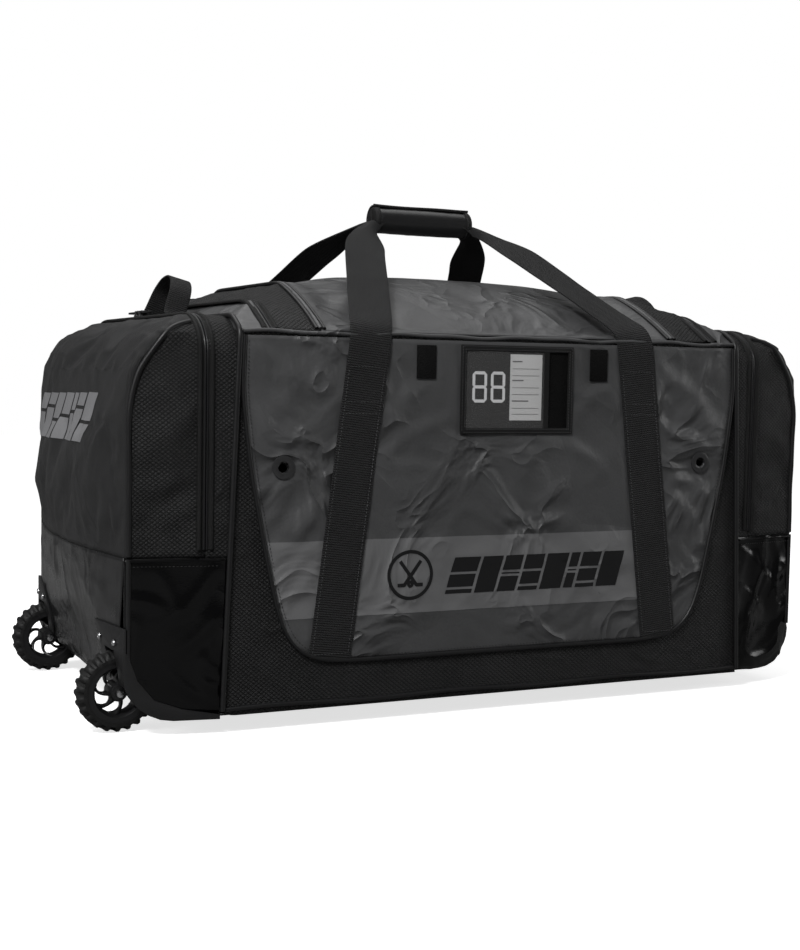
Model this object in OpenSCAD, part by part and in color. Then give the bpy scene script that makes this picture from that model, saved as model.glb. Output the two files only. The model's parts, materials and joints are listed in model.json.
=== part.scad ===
// Hockey equipment bag on two wheels: a soft box with a domed lid, two end
// pockets and a two-loop carry handle.
// Frame: X along the bag with the wheels at -X, -Y is the decorated front,
// +Z up, origin under the middle of the whole object on the ground.
// All sizes in millimetres.

/* [Main compartment] */
// Length of the main compartment at the floor, between the corner seams
main_len_base = 688; // [500:1:900]
// How far each side seam leans in from the floor to the top
side_lean_in = 17; // [0:1:40]
// Depth of the bag, front face to back face
bag_depth = 480; // [340:1:620]
// Height of the front seam above the floor of the bag
wall_height = 418; // [320:1:560]
// Rise of the domed top above the front seam
dome_rise = 75; // [40:1:110]
// How far the dome falls from its middle to the side seams
dome_side_drop = 61; // [30:1:90]
// Thickness of the padded fabric walls
wall = 4; // [2.5:0.5:7]
// Thickness of the stiff base board
board_t = 3; // [1.5:0.5:6]

/* [End pockets] */
// Length that each end pocket adds, at its piping
pocket_len = 101; // [80:1:170]
// How much the end face bulges past its piping
end_crown = 23; // [8:1:32]
// How far the pocket's sides pull in from the front face at the end
end_taper = 22; // [5:1:40]
// Radius of the pocket's top end corner, seen from the front
top_corner_r = 85; // [50:1:95]
// Radius of the pocket's bottom end corner
bottom_corner_r = 50; // [25:1:60]
// Height of the kick panels above the floor of the bag
kick_height = 173; // [140:1:230]
// Distance of the pocket zip from the main side seam, along X
zip_setback = 35; // [32:1:45]

/* [Lid] */
// Distance of the lid's side zips from the side seams, along X
lid_inset = 35; // [25:1:70]
// Distance from the front face to the zip at the back of the lid
lid_depth = 390; // [280:1:430]
// Radius of the lid's two back corners
lid_corner_r = 80; // [40:1:110]
// Width of the gusset between each side zip and its inner welt
gusset_w = 60; // [30:1:90]

/* [Zips] */
// Gap between the two halves of a zip
zip_gap = 0.6; // [0.4:0.1:1.5]
// Width of each zip tape and its coil
tape_w = 5; // [4:0.5:8]
// Height of the zip coil above the fabric
coil_h = 1.5; // [1:0.1:3]

/* [Carry handle and straps] */
// Width of the strap webbing
webbing_w = 50; // [38:1:60]
// Thickness of the webbing
webbing_t = 2.5; // [1.5:0.1:4]
// Distance between the strap centre lines at the front seam
strap_span_top = 350; // [260:1:440]
// Distance between the strap centre lines at the bottom of the panel
strap_span_base = 440; // [300:1:520]
// Height of the grip's centre above the floor of the bag
grip_height = 570; // [500:1:640]
// Length of the padded grip
grip_len = 138; // [110:1:180]
// Radius of the padded grip
grip_r = 17; // [13:0.5:24]

/* [Grab loops] */
// Width of the grab loop webbing
loop_w = 21; // [18:1:22]
// Span of a grab loop along Y, between the middles of its feet
loop_span = 90; // [70:1:130]
// Height of a grab loop above its hinge line
loop_height = 48; // [35:1:70]
// Lean of the grab loops towards the middle, in degrees
loop_lean = 20; // [0:1:40]

/* [Wheels] */
// Radius of the tyre
wheel_r = 44; // [40:0.5:46]
// Width of the wheel
wheel_w = 29; // [22:0.5:32]
// Distance of each wheel's middle from the front or back face
wheel_inset = 61.5; // [54:0.5:90]
// Clearance between the wheel and its slot, on each side
wheel_gap = 4; // [2:0.5:6]
// Radius of the axle
axle_r = 4; // [3:0.25:6]
// Radial running clearance of the bush on the axle
bush_clearance = 0.05; // [0.02:0.01:0.1]
// Height of the bag's floor above the ground
floor_z = 20; // [14:1:26]
// Thickness of the moulded bracket and the wheel well
bracket_t = 3; // [2:0.5:4]

/* [Hidden] */

tiny = 0.01;
reach = 2000;
half_base = main_len_base / 2;
half_top = half_base - side_lean_in;
half_depth = bag_depth / 2;
seam_z = floor_z + wall_height;
dome_top = seam_z + dome_rise;
edge_z = dome_top - dome_side_drop;
pocket_top = edge_z + 3;
kick_z = floor_z + kick_height;
end_x = half_base + pocket_len;
end_depth = half_depth - end_taper;
zip_x = half_top + zip_setback;
lid_half = half_top - lid_inset;
welt_x = lid_half - gusset_w;
lid_back = lid_depth - half_depth;
lean = side_lean_in / (edge_z - floor_z);
side_corner_r = 60;
axle_x = end_x;
axle_z = wheel_r;
wheel_y = half_depth - wheel_inset;
x_shift = (axle_x + wheel_r - end_x - end_crown) / 2;
tarp_t = 2;
face_y = -half_depth - tarp_t;

// ---------- outlines and forms ----------

function main_side_x(z, g = 0) = half_base - lean * (z - floor_z) - g;

function dome_line(g) = [for (i = [8:-1:-8])
    let (x = i / 8 * (half_top - g))
    [x, dome_top - g - dome_side_drop * pow(abs(i / 8), 4)]];

function crown_line(g) = [for (i = [12:-1:-12])
    let (y = i / 12 * (half_depth - g))
    [y, seam_z - g + dome_rise * (1 - pow(i / 12, 2))]];

function arc_points(cx, cy, r, a0, a1, n = 6) = [for (i = [0:n])
    let (a = a0 + (a1 - a0) * i / n) [cx + r * cos(a), cy + r * sin(a)]];

module along_y(y0, y1) {
    translate([0, y1, 0]) rotate([90, 0, 0]) linear_extrude(y1 - y0) children();
}

module along_x(x0, x1) {
    translate([x0, 0, 0]) rotate([90, 0, 90]) linear_extrude(x1 - x0) children();
}

module slab(x0, x1, y0, y1, z0, z1) {
    translate([x0, y0, z0]) cube([x1 - x0, y1 - y0, z1 - z0]);
}

// the outside of the main compartment, shrunk by g
module main_form(g) {
    intersection() {
        along_y(-reach, reach) polygon(concat(
            [[-main_side_x(floor_z, g), floor_z + g], [main_side_x(floor_z, g), floor_z + g]],
            dome_line(g)));
        along_x(-reach, reach) polygon(concat(
            [[-half_depth + g, floor_z + g], [half_depth - g, floor_z + g]],
            crown_line(g)));
    }
}

// the shell between two offsets of the main compartment
module main_skin(outer, inner) {
    difference() {
        main_form(outer);
        main_form(inner);
    }
}

module mirrored(s) {
    mirror([s < 0 ? 1 : 0, 0, 0]) children();
}

// the outside of the right end pocket, shrunk by g, with its open side moved
// towards the middle by open
module pocket_form(g, open = 0) {
    low = floor_z + bottom_corner_r;
    high = pocket_top - top_corner_r;
    intersection() {
        along_y(-reach, reach) polygon(concat(
            [[main_side_x(floor_z + g) - open, floor_z + g]],
            arc_points(end_x - bottom_corner_r, low, bottom_corner_r - g, -90, 0),
            [for (i = [1:7]) [end_x - g + end_crown * sin(180 * i / 8), low + (high - low) * i / 8]],
            arc_points(end_x - top_corner_r, high, top_corner_r - g, 0, 90),
            [[main_side_x(pocket_top - g) - open, pocket_top - g]]));
        linear_extrude(reach) polygon(concat(
            [[half_top - wall, -half_depth + g]],
            [for (i = [-6:6]) [end_x - g + end_crown * cos(15 * i), i / 6 * (end_depth - g)]],
            [[half_top - wall, half_depth - g]]));
        along_x(0, reach) polygon(concat(
            [[-half_depth - reach, -reach], [half_depth + reach, -reach],
                [half_depth + reach, pocket_top - side_corner_r]],
            arc_points(half_depth - side_corner_r, pocket_top - side_corner_r, side_corner_r - g, 0, 90),
            arc_points(side_corner_r - half_depth, pocket_top - side_corner_r, side_corner_r - g, 90, 180),
            [[-half_depth - reach, pocket_top - side_corner_r]]));
    }
}

module pocket_skin(outer, inner) {
    difference() {
        pocket_form(outer);
        pocket_form(inner, 1);
    }
}

// plan of the lid's opening, shrunk by g
module lid_plan(g, z0 = seam_z, z1 = reach) {
    r = lid_corner_r - g;
    hx = lid_half - g;
    back = lid_back - g;
    translate([0, 0, z0]) linear_extrude(z1 - z0) polygon(concat(
        [[-hx, -reach], [hx, -reach]],
        arc_points(hx - r, back - r, r, 0, 90),
        arc_points(r - hx, back - r, r, 90, 180)));
}

module in_frame() {
    translate([x_shift, 0, 0]) children();
}

// ---------- fixed body of the bag ----------

module wheel_well_block() {
    y0 = wheel_y - wheel_w / 2 - wheel_gap - bracket_t;
    y1 = wheel_y + wheel_w / 2 + wheel_gap + bracket_t;
    well_r = wheel_r + wheel_gap + bracket_t;
    for (m = [0, 1]) mirror([0, m, 0])
        slab(-reach, -axle_x + well_r, y0, y1, -reach, axle_z + well_r);
}

module floor_panel() {
    color("#26272a") in_frame() intersection() {
        main_form(0);
        slab(-reach, reach, -half_depth + wall, half_depth - wall, 0, floor_z + wall);
    }
}

module base_board() {
    play = 6;
    hx = half_base - wall - play;
    hy = half_depth - wall - play;
    color("#3b3d40") in_frame()
        slab(-hx, hx, -hy, hy, floor_z + wall, floor_z + wall + board_t);
}

grommet_x = half_top - 50;
grommet_z = seam_z - 148;
grommet_bore = 6.5;
grommet_neck = 7.5;

module grommet_holes() {
    for (s = [-1, 1]) translate([s * grommet_x, -half_depth + wall + 1, grommet_z])
        rotate([90, 0, 0]) cylinder(r = grommet_neck, h = wall + tarp_t + 2, $fn = 48);
}

module face_wall(sign) {
    y0 = sign < 0 ? -half_depth : half_depth - wall;
    intersection() {
        main_form(0);
        slab(-reach, reach, y0, y0 + wall, 0, seam_z);
    }
}

module front_panel() {
    color("#1b1c1e") in_frame() difference() {
        face_wall(-1);
        grommet_holes();
    }
}

module back_panel() {
    color("#1d1e20") in_frame() face_wall(1);
}

// the two walls between the main compartment and the end pockets
module dividers() {
    z0 = floor_z + wall;
    play = 0.1;
    color("#2a2b2e") in_frame() for (s = [-1, 1]) mirrored(s)
        along_y(wall - half_depth, half_depth - wall)
            polygon([[main_side_x(z0, wall), z0], [main_side_x(z0, play), z0],
                [main_side_x(seam_z, play), seam_z], [main_side_x(seam_z, wall), seam_z]]);
}

// the strips of the top outside the lid's zip
module top_strips(x0, x1, y0) {
    intersection() {
        difference() {
            main_skin(0, wall);
            lid_plan(-zip_gap / 2);
        }
        slab(x0, x1, y0, reach, seam_z, reach);
    }
}

rim_split = lid_half - lid_corner_r - 1;

module side_rims() {
    color("#4a4d50") in_frame() {
        top_strips(-reach, -rim_split, -reach);
        top_strips(rim_split, reach, -reach);
    }
}

module back_rim() {
    color("#3a3c3f") in_frame() top_strips(-rim_split, rim_split, 0);
}

panel_low = 52;

// the tarpaulin shape on the front: full width above, waisted in below
module front_outline(g = 0) {
    h = wall_height;
    half = [for (p = [[-6, 0.995], [-8, 0.83], [-18, 0.64], [-35, 0.43], [-50, 0.27], [-64, 0.185], [-90, 0.135]])
        [half_top + p[0] + 5, floor_z + h * p[1]]];
    polygon(concat([for (p = half) [p[0] - g, p[1]]],
        [[half_top - 130, floor_z + panel_low], [130 - half_top, floor_z + panel_low]],
        [for (i = [len(half) - 1:-1:0]) [g - half[i][0], half[i][1]]]));
}

piping = 5;

module front_tarp_panel() {
    color("#585b5e") in_frame() difference() {
        along_y(face_y, -half_depth) intersection() {
            front_outline();
            polygon([[-main_side_x(0) + piping, 0], [main_side_x(0) - piping, 0],
                [main_side_x(seam_z) - piping, seam_z - piping], [piping - main_side_x(seam_z), seam_z - piping]]);
        }
        grommet_holes();
    }
}

module face_piping(y0) {
    z0 = floor_z + wall;
    top = seam_z + 1;
    along_y(y0, y0 + piping) difference() {
        polygon([[-main_side_x(z0), z0], [main_side_x(z0), z0],
            [main_side_x(top), top], [-main_side_x(top), top]]);
        polygon([[-main_side_x(z0 - 1) + piping, z0 - 1], [main_side_x(z0 - 1) - piping, z0 - 1],
            [main_side_x(top) - piping, top - piping], [piping - main_side_x(top), top - piping]]);
    }
}

// piping up the four corners and along the front and back seams
module seam_piping() {
    color("#101112") in_frame() {
        face_piping(-half_depth - piping);
        face_piping(half_depth);
    }
}

// the band of each end pocket between the main seam and its zip
module pocket_collars() {
    color("#1b1c1e") in_frame() for (s = [-1, 1]) mirrored(s) intersection() {
        pocket_skin(0, wall);
        slab(0, zip_x - zip_gap / 2, -reach, reach, kick_z, reach);
    }
}

kick_in_y = end_depth - wall - 1;

module kick_panels() {
    color("#0c0c0d") in_frame() difference() {
        for (s = [-1, 1], m = [0, 1]) mirrored(s) mirror([0, m, 0]) intersection() {
            pocket_skin(0, wall);
            slab(0, reach, kick_in_y, reach, 0, kick_z - zip_gap / 2);
        }
        wheel_well_block();
    }
}

module end_base() {
    intersection() {
        pocket_skin(0, wall);
        slab(0, reach, -kick_in_y, kick_in_y, 0, kick_z - zip_gap / 2);
    }
}

module left_end_base() {
    color("#4b4e51") in_frame() difference() {
        mirrored(-1) end_base();
        wheel_well_block();
        for (m = [0, 1]) mirror([0, m, 0]) rivet_holes();
    }
}

module right_end_base() {
    color("#4b4e51") in_frame() end_base();
}

// ---------- wheels and brackets ----------

bracket_in_y = wheel_y - wheel_w / 2 - wheel_gap - 22;
bracket_top = axle_z + 74;
guard_len = pocket_len - 1.5;
rivet_r = 4;
rivet_shank_r = 2.5;
rivet_z = bracket_top - 18;
rivet_ys = [wheel_y - 28, wheel_y + 20];

// holes for the rivet shanks, through the plate and the end wall
module rivet_holes() {
    for (y = rivet_ys) translate([-reach, y, rivet_z]) rotate([0, 90, 0])
        cylinder(r = rivet_shank_r, h = reach, $fn = 32);
}

module wheel_slot() {
    slot_r = wheel_r + wheel_gap;
    half = wheel_w / 2 + wheel_gap;
    translate([-axle_x, wheel_y + half, axle_z]) rotate([90, 0, 0])
        cylinder(r = slot_r, h = 2 * half, $fn = 96);
    slab(-reach, -axle_x, wheel_y - half, wheel_y + half, -reach, axle_z + slot_r - 12);
    slab(-axle_x - slot_r, -axle_x + slot_r, wheel_y - half, wheel_y + half, -reach, axle_z);
}

// moulded corner: end plate, side guard, and the well that holds the axle
module wheel_bracket() {
    well_r = wheel_r + wheel_gap + bracket_t;
    y0 = wheel_y - wheel_w / 2 - wheel_gap - bracket_t;
    y1 = wheel_y + wheel_w / 2 + wheel_gap + bracket_t;
    gx = -end_x;
    difference() {
        union() {
            intersection() {
                difference() {
                    mirrored(-1) pocket_form(-bracket_t);
                    mirrored(-1) pocket_form(0);
                }
                union() {
                    slab(-reach, gx, bracket_in_y, reach, floor_z - bracket_t, bracket_top);
                    along_y(end_depth - wall, reach) polygon([[gx - bracket_t, floor_z - bracket_t],
                        [gx - bracket_t, axle_z + 47], [gx + 2, axle_z + 47], [gx + 12, axle_z + 18],
                        [gx + 30, floor_z + 20], [gx + 60, floor_z + 9], [gx + guard_len, floor_z + 2],
                        [gx + guard_len, floor_z - bracket_t]]);
                }
            }
            intersection() {
                mirrored(-1) pocket_form(0);
                slab(-reach, -axle_x + well_r, y0, y1, -reach, axle_z + well_r);
            }
        }
        wheel_slot();
        translate([-axle_x, reach, axle_z]) rotate([90, 0, 0])
            cylinder(r = axle_r, h = 2 * reach, $fn = 48);
        rivet_holes();
    }
}

module front_wheel_bracket() {
    color("#2e3032") in_frame() mirror([0, 1, 0]) wheel_bracket();
}

module back_wheel_bracket() {
    color("#2e3032") in_frame() wheel_bracket();
}

function crown_x(y, z) = min(
    end_x + end_crown * cos(90 * y / end_depth),
    end_x + end_crown * sin(180 * (z - floor_z - bottom_corner_r)
        / (pocket_top - top_corner_r - floor_z - bottom_corner_r)));

// blind rivets that clamp the brackets to the end wall
module bracket_rivets() {
    head_h = 1.6;
    color("#c9cbcd") in_frame() for (m = [0, 1], y = rivet_ys) mirror([0, m, 0])
        translate([-crown_x(y, rivet_z) - bracket_t - 3, y, rivet_z]) rotate([0, 90, 0]) difference() {
            union() {
                cylinder(r1 = rivet_r - 1, r2 = rivet_r, h = head_h, $fn = 32);
                cylinder(r = rivet_shank_r, h = wall + bracket_t + head_h, $fn = 32);
            }
            translate([0, 0, -tiny]) cylinder(r = 1, h = 2, $fn = 24);
        }
}

// steel axle pins, one for each wheel, seated in the cheeks of the wells
module wheel_axles() {
    cheek = wheel_w / 2 + wheel_gap + bracket_t;
    color("#b8babd") in_frame() for (m = [0, 1]) mirror([0, m, 0])
        translate([-axle_x, wheel_y + cheek, axle_z]) rotate([90, 0, 0])
            cylinder(r = axle_r, h = 2 * cheek, $fn = 48);
}

module skid_rails() {
    rail_y = half_depth - 100;
    rail_w = 22;
    x0 = -half_base + 130;
    x1 = end_x - bottom_corner_r - 5;
    color("#232426") in_frame() for (s = [-1, 1]) translate([0, s * rail_y, 0])
        along_y(-rail_w / 2, rail_w / 2)
            polygon([[x0, floor_z], [x0 + floor_z, 0], [x1 - floor_z, 0], [x1, floor_z]]);
}

hub_r = wheel_r * 0.76;
rim_in_r = wheel_r * 0.58;
bush_r = axle_r + bush_clearance;

module at_wheel(m) {
    in_frame() mirror([0, m, 0]) translate([-axle_x, wheel_y, axle_z]) rotate([90, 0, 0]) children();
}

// rubber tyre with a lugged tread
module tyre() {
    lugs = 18;
    lug_depth = 2.5;
    difference() {
        translate([0, 0, -wheel_w / 2]) cylinder(r = wheel_r, h = wheel_w, $fn = 96);
        translate([0, 0, -wheel_w / 2 - 1]) cylinder(r = hub_r, h = wheel_w + 2, $fn = 96);
        for (i = [0:lugs - 1], s = [-1, 1]) rotate([0, 0, (i + (s + 1) / 4) * 360 / lugs])
            translate([wheel_r, 0, s * wheel_w / 2]) rotate([0, 45, 0]) cube([lug_depth * 2, 5, lug_depth * 2], center = true);
    }
}

// hub: rim, seven spokes and a sleeve that runs on the axle
module hub() {
    spokes = 7;
    boss_r = axle_r + 5;
    difference() {
        union() {
            difference() {
                translate([0, 0, -wheel_w / 2]) cylinder(r = hub_r, h = wheel_w, $fn = 96);
                translate([0, 0, -wheel_w / 2 - 1]) cylinder(r = rim_in_r, h = wheel_w + 2, $fn = 96);
            }
            translate([0, 0, -wheel_w / 2 - 1]) cylinder(r = boss_r, h = wheel_w + 2, $fn = 64);
            for (i = [0:spokes - 1]) rotate([0, 0, i * 360 / spokes])
                translate([axle_r + 2, -2.5, -wheel_w / 2 + 4]) cube([rim_in_r - axle_r, 5, wheel_w - 8]);
        }
        translate([0, 0, -wheel_w]) cylinder(r = bush_r, h = 2 * wheel_w, $fn = 64);
    }
}

module front_wheel_tyre() {
    color("#1a1b1c") at_wheel(1) tyre();
}

module front_wheel_hub() {
    color("#222325") at_wheel(1) hub();
}

module back_wheel_tyre() {
    color("#1a1b1c") at_wheel(0) tyre();
}

module back_wheel_hub() {
    color("#222325") at_wheel(0) hub();
}

// ---------- straps, handle and loops ----------

strap_low_z = floor_z + panel_low + 4;
strap_high_z = seam_z - piping;

function strap_x(z) = strap_span_base / 2
    + (strap_span_top - strap_span_base) / 2 * (z - strap_low_z) / (seam_z - strap_low_z);

module sewn_straps(y0) {
    w = webbing_w / 2;
    for (s = [-1, 1]) mirrored(s) along_y(y0, y0 + webbing_t)
        polygon([[strap_x(strap_low_z) - w, strap_low_z], [strap_x(strap_low_z) + w, strap_low_z],
            [strap_x(strap_high_z) + w, strap_high_z], [strap_x(strap_high_z) - w, strap_high_z]]);
}

module front_sewn_straps() {
    color("#202123") in_frame() sewn_straps(face_y - webbing_t);
}

module back_sewn_straps() {
    color("#202123") in_frame() sewn_straps(half_depth);
}

// the free loops turn on a line just outside and above each long seam
loop_y = half_depth + 4;
loop_z = seam_z + 8;
grip_z = floor_z + grip_height;
grip_offset = 8;
loop_rise = atan2(grip_z - loop_z, loop_y - grip_offset);
loop_len = norm([loop_y - grip_offset, grip_z - loop_z]);

// one free loop for the front: two webbing legs and the run inside the grip
module handle_webbing(grow = 0) {
    w = webbing_w / 2;
    foot = strap_span_top / 2;
    neck = 14;
    translate([0, -loop_y, loop_z]) rotate([loop_rise, 0, 0])
        translate([0, 0, -webbing_t / 2 - grow]) linear_extrude(webbing_t + 2 * grow)
            polygon([[-foot - w, 3], [w - foot, 3], [-grip_len / 2 - 3, loop_len - neck],
                [grip_len / 2 + 3, loop_len - neck], [foot - w, 3], [foot + w, 3],
                [grip_len / 2 + 2 * neck, loop_len + neck / 2 - 2], [-grip_len / 2 - 2 * neck, loop_len + neck / 2 - 2]]);
}

module grip_half() {
    difference() {
        intersection() {
            translate([-grip_len / 2, 0, grip_z]) rotate([0, 90, 0]) cylinder(r = grip_r, h = grip_len, $fn = 64);
            slab(-reach, reach, -reach, -0.25, 0, reach);
        }
        handle_webbing();
    }
}

module front_handle_loop() {
    color("#202123") in_frame() handle_webbing();
}

module front_grip_half() {
    color("#151516") in_frame() grip_half();
}

module back_handle_loop() {
    color("#202123") in_frame() mirror([0, 1, 0]) handle_webbing();
}

module back_grip_half() {
    color("#151516") in_frame() mirror([0, 1, 0]) grip_half();
}

foot_t = 2.5;
loop_x = half_top + 6 + loop_w / 2;
loop_pivot_z = pocket_top + 5;

module grab_loop_feet() {
    color("#1c1d1f") in_frame() for (s = [-1, 1], m = [-1, 1])
        translate([s * loop_x - loop_w / 2, m * loop_span / 2 - 16, pocket_top])
            cube([loop_w, 32, foot_t]);
}

// webbing arch that leans towards the middle, free above its feet
module grab_loop(s) {
    r = loop_span / 2;
    low = 15;
    translate([s * loop_x, 0, loop_pivot_z]) rotate([0, -s * loop_lean, 0])
        intersection() {
            translate([0, 0, loop_height - r]) rotate([90, 0, 90]) translate([0, 0, -loop_w / 2])
                linear_extrude(loop_w) difference() {
                    polygon(concat([[r, -r]], arc_points(0, 0, r, 0, 180, 16), [[-r, -r]]));
                    polygon(concat([[r - webbing_t, -r - 1]], arc_points(0, 0, r - webbing_t, 0, 180, 16),
                        [[webbing_t - r, -r - 1]]));
                }
            slab(-reach, reach, -reach, reach, low, reach);
        }
}

module left_grab_loop() {
    color("#1c1d1f") in_frame() grab_loop(-1);
}

module right_grab_loop() {
    color("#1c1d1f") in_frame() grab_loop(1);
}

// ---------- small things on the front ----------

module vent_grommets() {
    flange_r = 13;
    flange_t = 1.8;
    through = wall + tarp_t;
    color("#2b2c2e") in_frame() for (s = [-1, 1]) translate([s * grommet_x, face_y, grommet_z])
        rotate([90, 0, 0]) difference() {
            union() {
                cylinder(r = flange_r, h = flange_t, $fn = 64);
                translate([0, 0, -through]) cylinder(r = grommet_neck, h = through + 0.5, $fn = 48);
                translate([0, 0, -through - flange_t]) cylinder(r = flange_r - 2, h = flange_t, $fn = 64);
            }
            translate([0, 0, -through - 3]) cylinder(r = grommet_bore, h = through + 6, $fn = 48);
        }
}

module hook_patches() {
    w = 24;
    h = 38;
    z0 = seam_z - 49;
    color("#0f0f10") in_frame() for (x = [-118, 112])
        slab(x, x + w, face_y - 2, face_y, z0, z0 + h);
}

id_x0 = -62;
id_x1 = 88;
id_z0 = seam_z - 112;
id_z1 = seam_z - 9;
id_bind = 7;
id_divider = 48;

module id_window_frame() {
    frame_t = 2.5;
    color("#131314") in_frame() difference() {
        slab(id_x0, id_x1, face_y - frame_t, face_y, id_z0, id_z1);
        slab(id_x0 + id_bind, id_divider, -reach, 0, id_z0 + id_bind, id_z1 - id_bind);
        slab(id_divider + id_bind, id_x1 - id_bind, -reach, 0, id_z0 + id_bind, id_z1 - id_bind);
    }
}

module id_window_film() {
    color([0.85, 0.88, 0.9, 0.35]) in_frame()
        slab(id_x0 + id_bind, id_divider, face_y - 1.8, face_y - 1.2, id_z0 + id_bind, id_z1 - id_bind);
}

module id_cards() {
    card_t = 0.8;
    color("#e6e6e2") in_frame() {
        slab(id_divider - 46, id_divider - 2, face_y - card_t, face_y, id_z0 + 15, id_z1 - id_bind - 3);
        slab(id_x0 + id_bind + 4, id_divider - 48, face_y - card_t, face_y, id_z0 + 32, id_z1 - id_bind - 18);
    }
}

// ---------- zips ----------

module rim_zip_tape() {
    color("#0d0d0e") in_frame() intersection() {
        difference() {
            main_skin(-coil_h, 0);
            lid_plan(-zip_gap / 2);
        }
        lid_plan(-zip_gap / 2 - tape_w, seam_z + 2);
        slab(-reach, reach, -half_depth, reach, 0, reach);
    }
}

module pocket_zip_tapes() {
    color("#0d0d0e") in_frame() for (s = [-1, 1]) mirrored(s) intersection() {
        pocket_skin(-coil_h, 0);
        slab(zip_x - zip_gap / 2 - tape_w, zip_x - zip_gap / 2, -reach, reach, kick_z, reach);
    }
}

// ---------- lid ----------

lid_edge_z = seam_z + 2.2;

module lid_part(x0, x1) {
    intersection() {
        main_skin(0, wall);
        lid_plan(zip_gap / 2, lid_edge_z);
        slab(x0, x1, wall / 4 - half_depth, reach, lid_edge_z, reach);
    }
}

module lid_dome() {
    color("#6d7174") in_frame() lid_part(-welt_x, welt_x);
}

module left_lid_gusset() {
    color("#242527") in_frame() lid_part(-reach, -welt_x);
}

module right_lid_gusset() {
    color("#242527") in_frame() lid_part(welt_x, reach);
}

// zip tape along the lid's free edge and the two inner welts
module lid_zip_edging() {
    welt_w = 8;
    color("#0d0d0e") in_frame() intersection() {
        difference() {
            main_skin(-coil_h, 0);
            difference() {
                lid_plan(zip_gap / 2 + tape_w, 0);
                for (s = [-1, 1]) slab(s * welt_x - welt_w / 2, s * welt_x + welt_w / 2,
                    -reach, lid_back - tape_w, 0, reach);
            }
        }
        lid_plan(zip_gap / 2, lid_edge_z);
    }
}

// ---------- end pocket doors ----------

module door_part(x0, x1) {
    intersection() {
        pocket_skin(0, wall);
        slab(x0, x1, -reach, reach, kick_z + zip_gap / 2, reach);
    }
}

// outside of the end, with piping round it and the zip's outer tape
module door_edging() {
    intersection() {
        pocket_skin(-coil_h, 0);
        slab(zip_x + zip_gap / 2, zip_x + zip_gap / 2 + tape_w, -reach, reach, kick_z + zip_gap / 2, reach);
    }
    intersection() {
        pocket_skin(-3, 0);
        slab(end_x - wall - 2, end_x + 1, -reach, reach, kick_z + zip_gap / 2, reach);
        union() {
            slab(0, reach, end_depth - 3, reach, 0, reach);
            slab(0, reach, -reach, 3 - end_depth, 0, reach);
        }
    }
}

module left_end_panel() {
    color("#333538") in_frame() mirrored(-1) door_part(end_x - wall, reach);
}

module right_end_panel() {
    color("#333538") in_frame() door_part(end_x - wall, reach);
}

module left_pocket_gusset() {
    color("#1f2022") in_frame() mirrored(-1) door_part(zip_x + zip_gap / 2, end_x - wall);
}

module right_pocket_gusset() {
    color("#1f2022") in_frame() door_part(zip_x + zip_gap / 2, end_x - wall);
}

module left_pocket_edging() {
    color("#0d0d0e") in_frame() mirrored(-1) door_edging();
}

module right_pocket_edging() {
    color("#0d0d0e") in_frame() door_edging();
}

// ---------- sliders and pull tabs ----------

slider_w = 12;
slider_l = 14;
slider_t = 3;
bridge_r = 1.2;
bridge_z = slider_t + 3;
tab_l = 34;
tab_w = 8;
slider_lift = coil_h + 0.5;

// slider that straddles a zip along X, with its bridge pin across, along Y
module slider() {
    difference() {
        translate([-slider_l / 2, -slider_w / 2, 0]) cube([slider_l, slider_w, slider_t]);
        for (s = [-1, 1]) translate([slider_l / 2, s * (slider_w / 2 + 3), -1]) cylinder(r = 5, h = slider_t + 2, $fn = 32);
    }
    for (s = [-1, 1]) translate([-2, s * 4.5 - 0.8, slider_t]) cube([4, 1.6, bridge_z - slider_t + 2]);
    translate([0, 4.5, bridge_z]) rotate([90, 0, 0]) cylinder(r = bridge_r, h = 9, $fn = 32);
}

// flat pull tab with an eye round the bridge pin, lying towards +X
module pull_tab() {
    eye_r = bridge_r + bush_clearance;
    difference() {
        union() {
            translate([0, 3, bridge_z]) rotate([90, 0, 0]) cylinder(r = eye_r + 1.4, h = 6, $fn = 32);
            translate([0, -3, bridge_z - 0.9]) cube([slider_l / 2 + 4, 6, 1.8]);
            translate([slider_l / 2 + 2, -tab_w / 2, bridge_z - 1.2]) cube([tab_l - slider_l / 2, tab_w, 2.4]);
        }
        translate([0, 5, bridge_z]) rotate([90, 0, 0]) cylinder(r = eye_r, h = 10, $fn = 32);
    }
}

crown_step = half_depth / 12;
function crown_z(y) = seam_z + dome_rise * (1 - pow(y / half_depth, 2));
lid_slope = atan2(crown_z(lid_back + 10) - crown_z(lid_back - 10), 20);
lid_slider_x = 9;
pocket_slider_y = 9;
zip_mid_y = 30;

module on_lid_zip(s) {
    in_frame() translate([s * lid_slider_x, lid_back, crown_z(lid_back)]) rotate([lid_slope, 0, 0])
        translate([0, 0, slider_lift]) rotate([0, 0, s < 0 ? 180 : 0]) children();
}

module on_pocket_zip(s, side) {
    in_frame() translate([s * zip_x, zip_mid_y + side * pocket_slider_y, pocket_top + slider_lift])
        rotate([0, 0, side < 0 ? -90 : 90]) children();
}

module lid_slider_left() {
    color("#3a3c3e") on_lid_zip(-1) slider();
}

module lid_slider_right() {
    color("#3a3c3e") on_lid_zip(1) slider();
}

module lid_tab_left() {
    color("#141415") on_lid_zip(-1) pull_tab();
}

module lid_tab_right() {
    color("#141415") on_lid_zip(1) pull_tab();
}

module left_slider_front() {
    color("#3a3c3e") on_pocket_zip(-1, -1) slider();
}

module left_slider_back() {
    color("#3a3c3e") on_pocket_zip(-1, 1) slider();
}

module left_tab_front() {
    color("#141415") on_pocket_zip(-1, -1) pull_tab();
}

module left_tab_back() {
    color("#141415") on_pocket_zip(-1, 1) pull_tab();
}

module right_slider_front() {
    color("#3a3c3e") on_pocket_zip(1, -1) slider();
}

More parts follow.
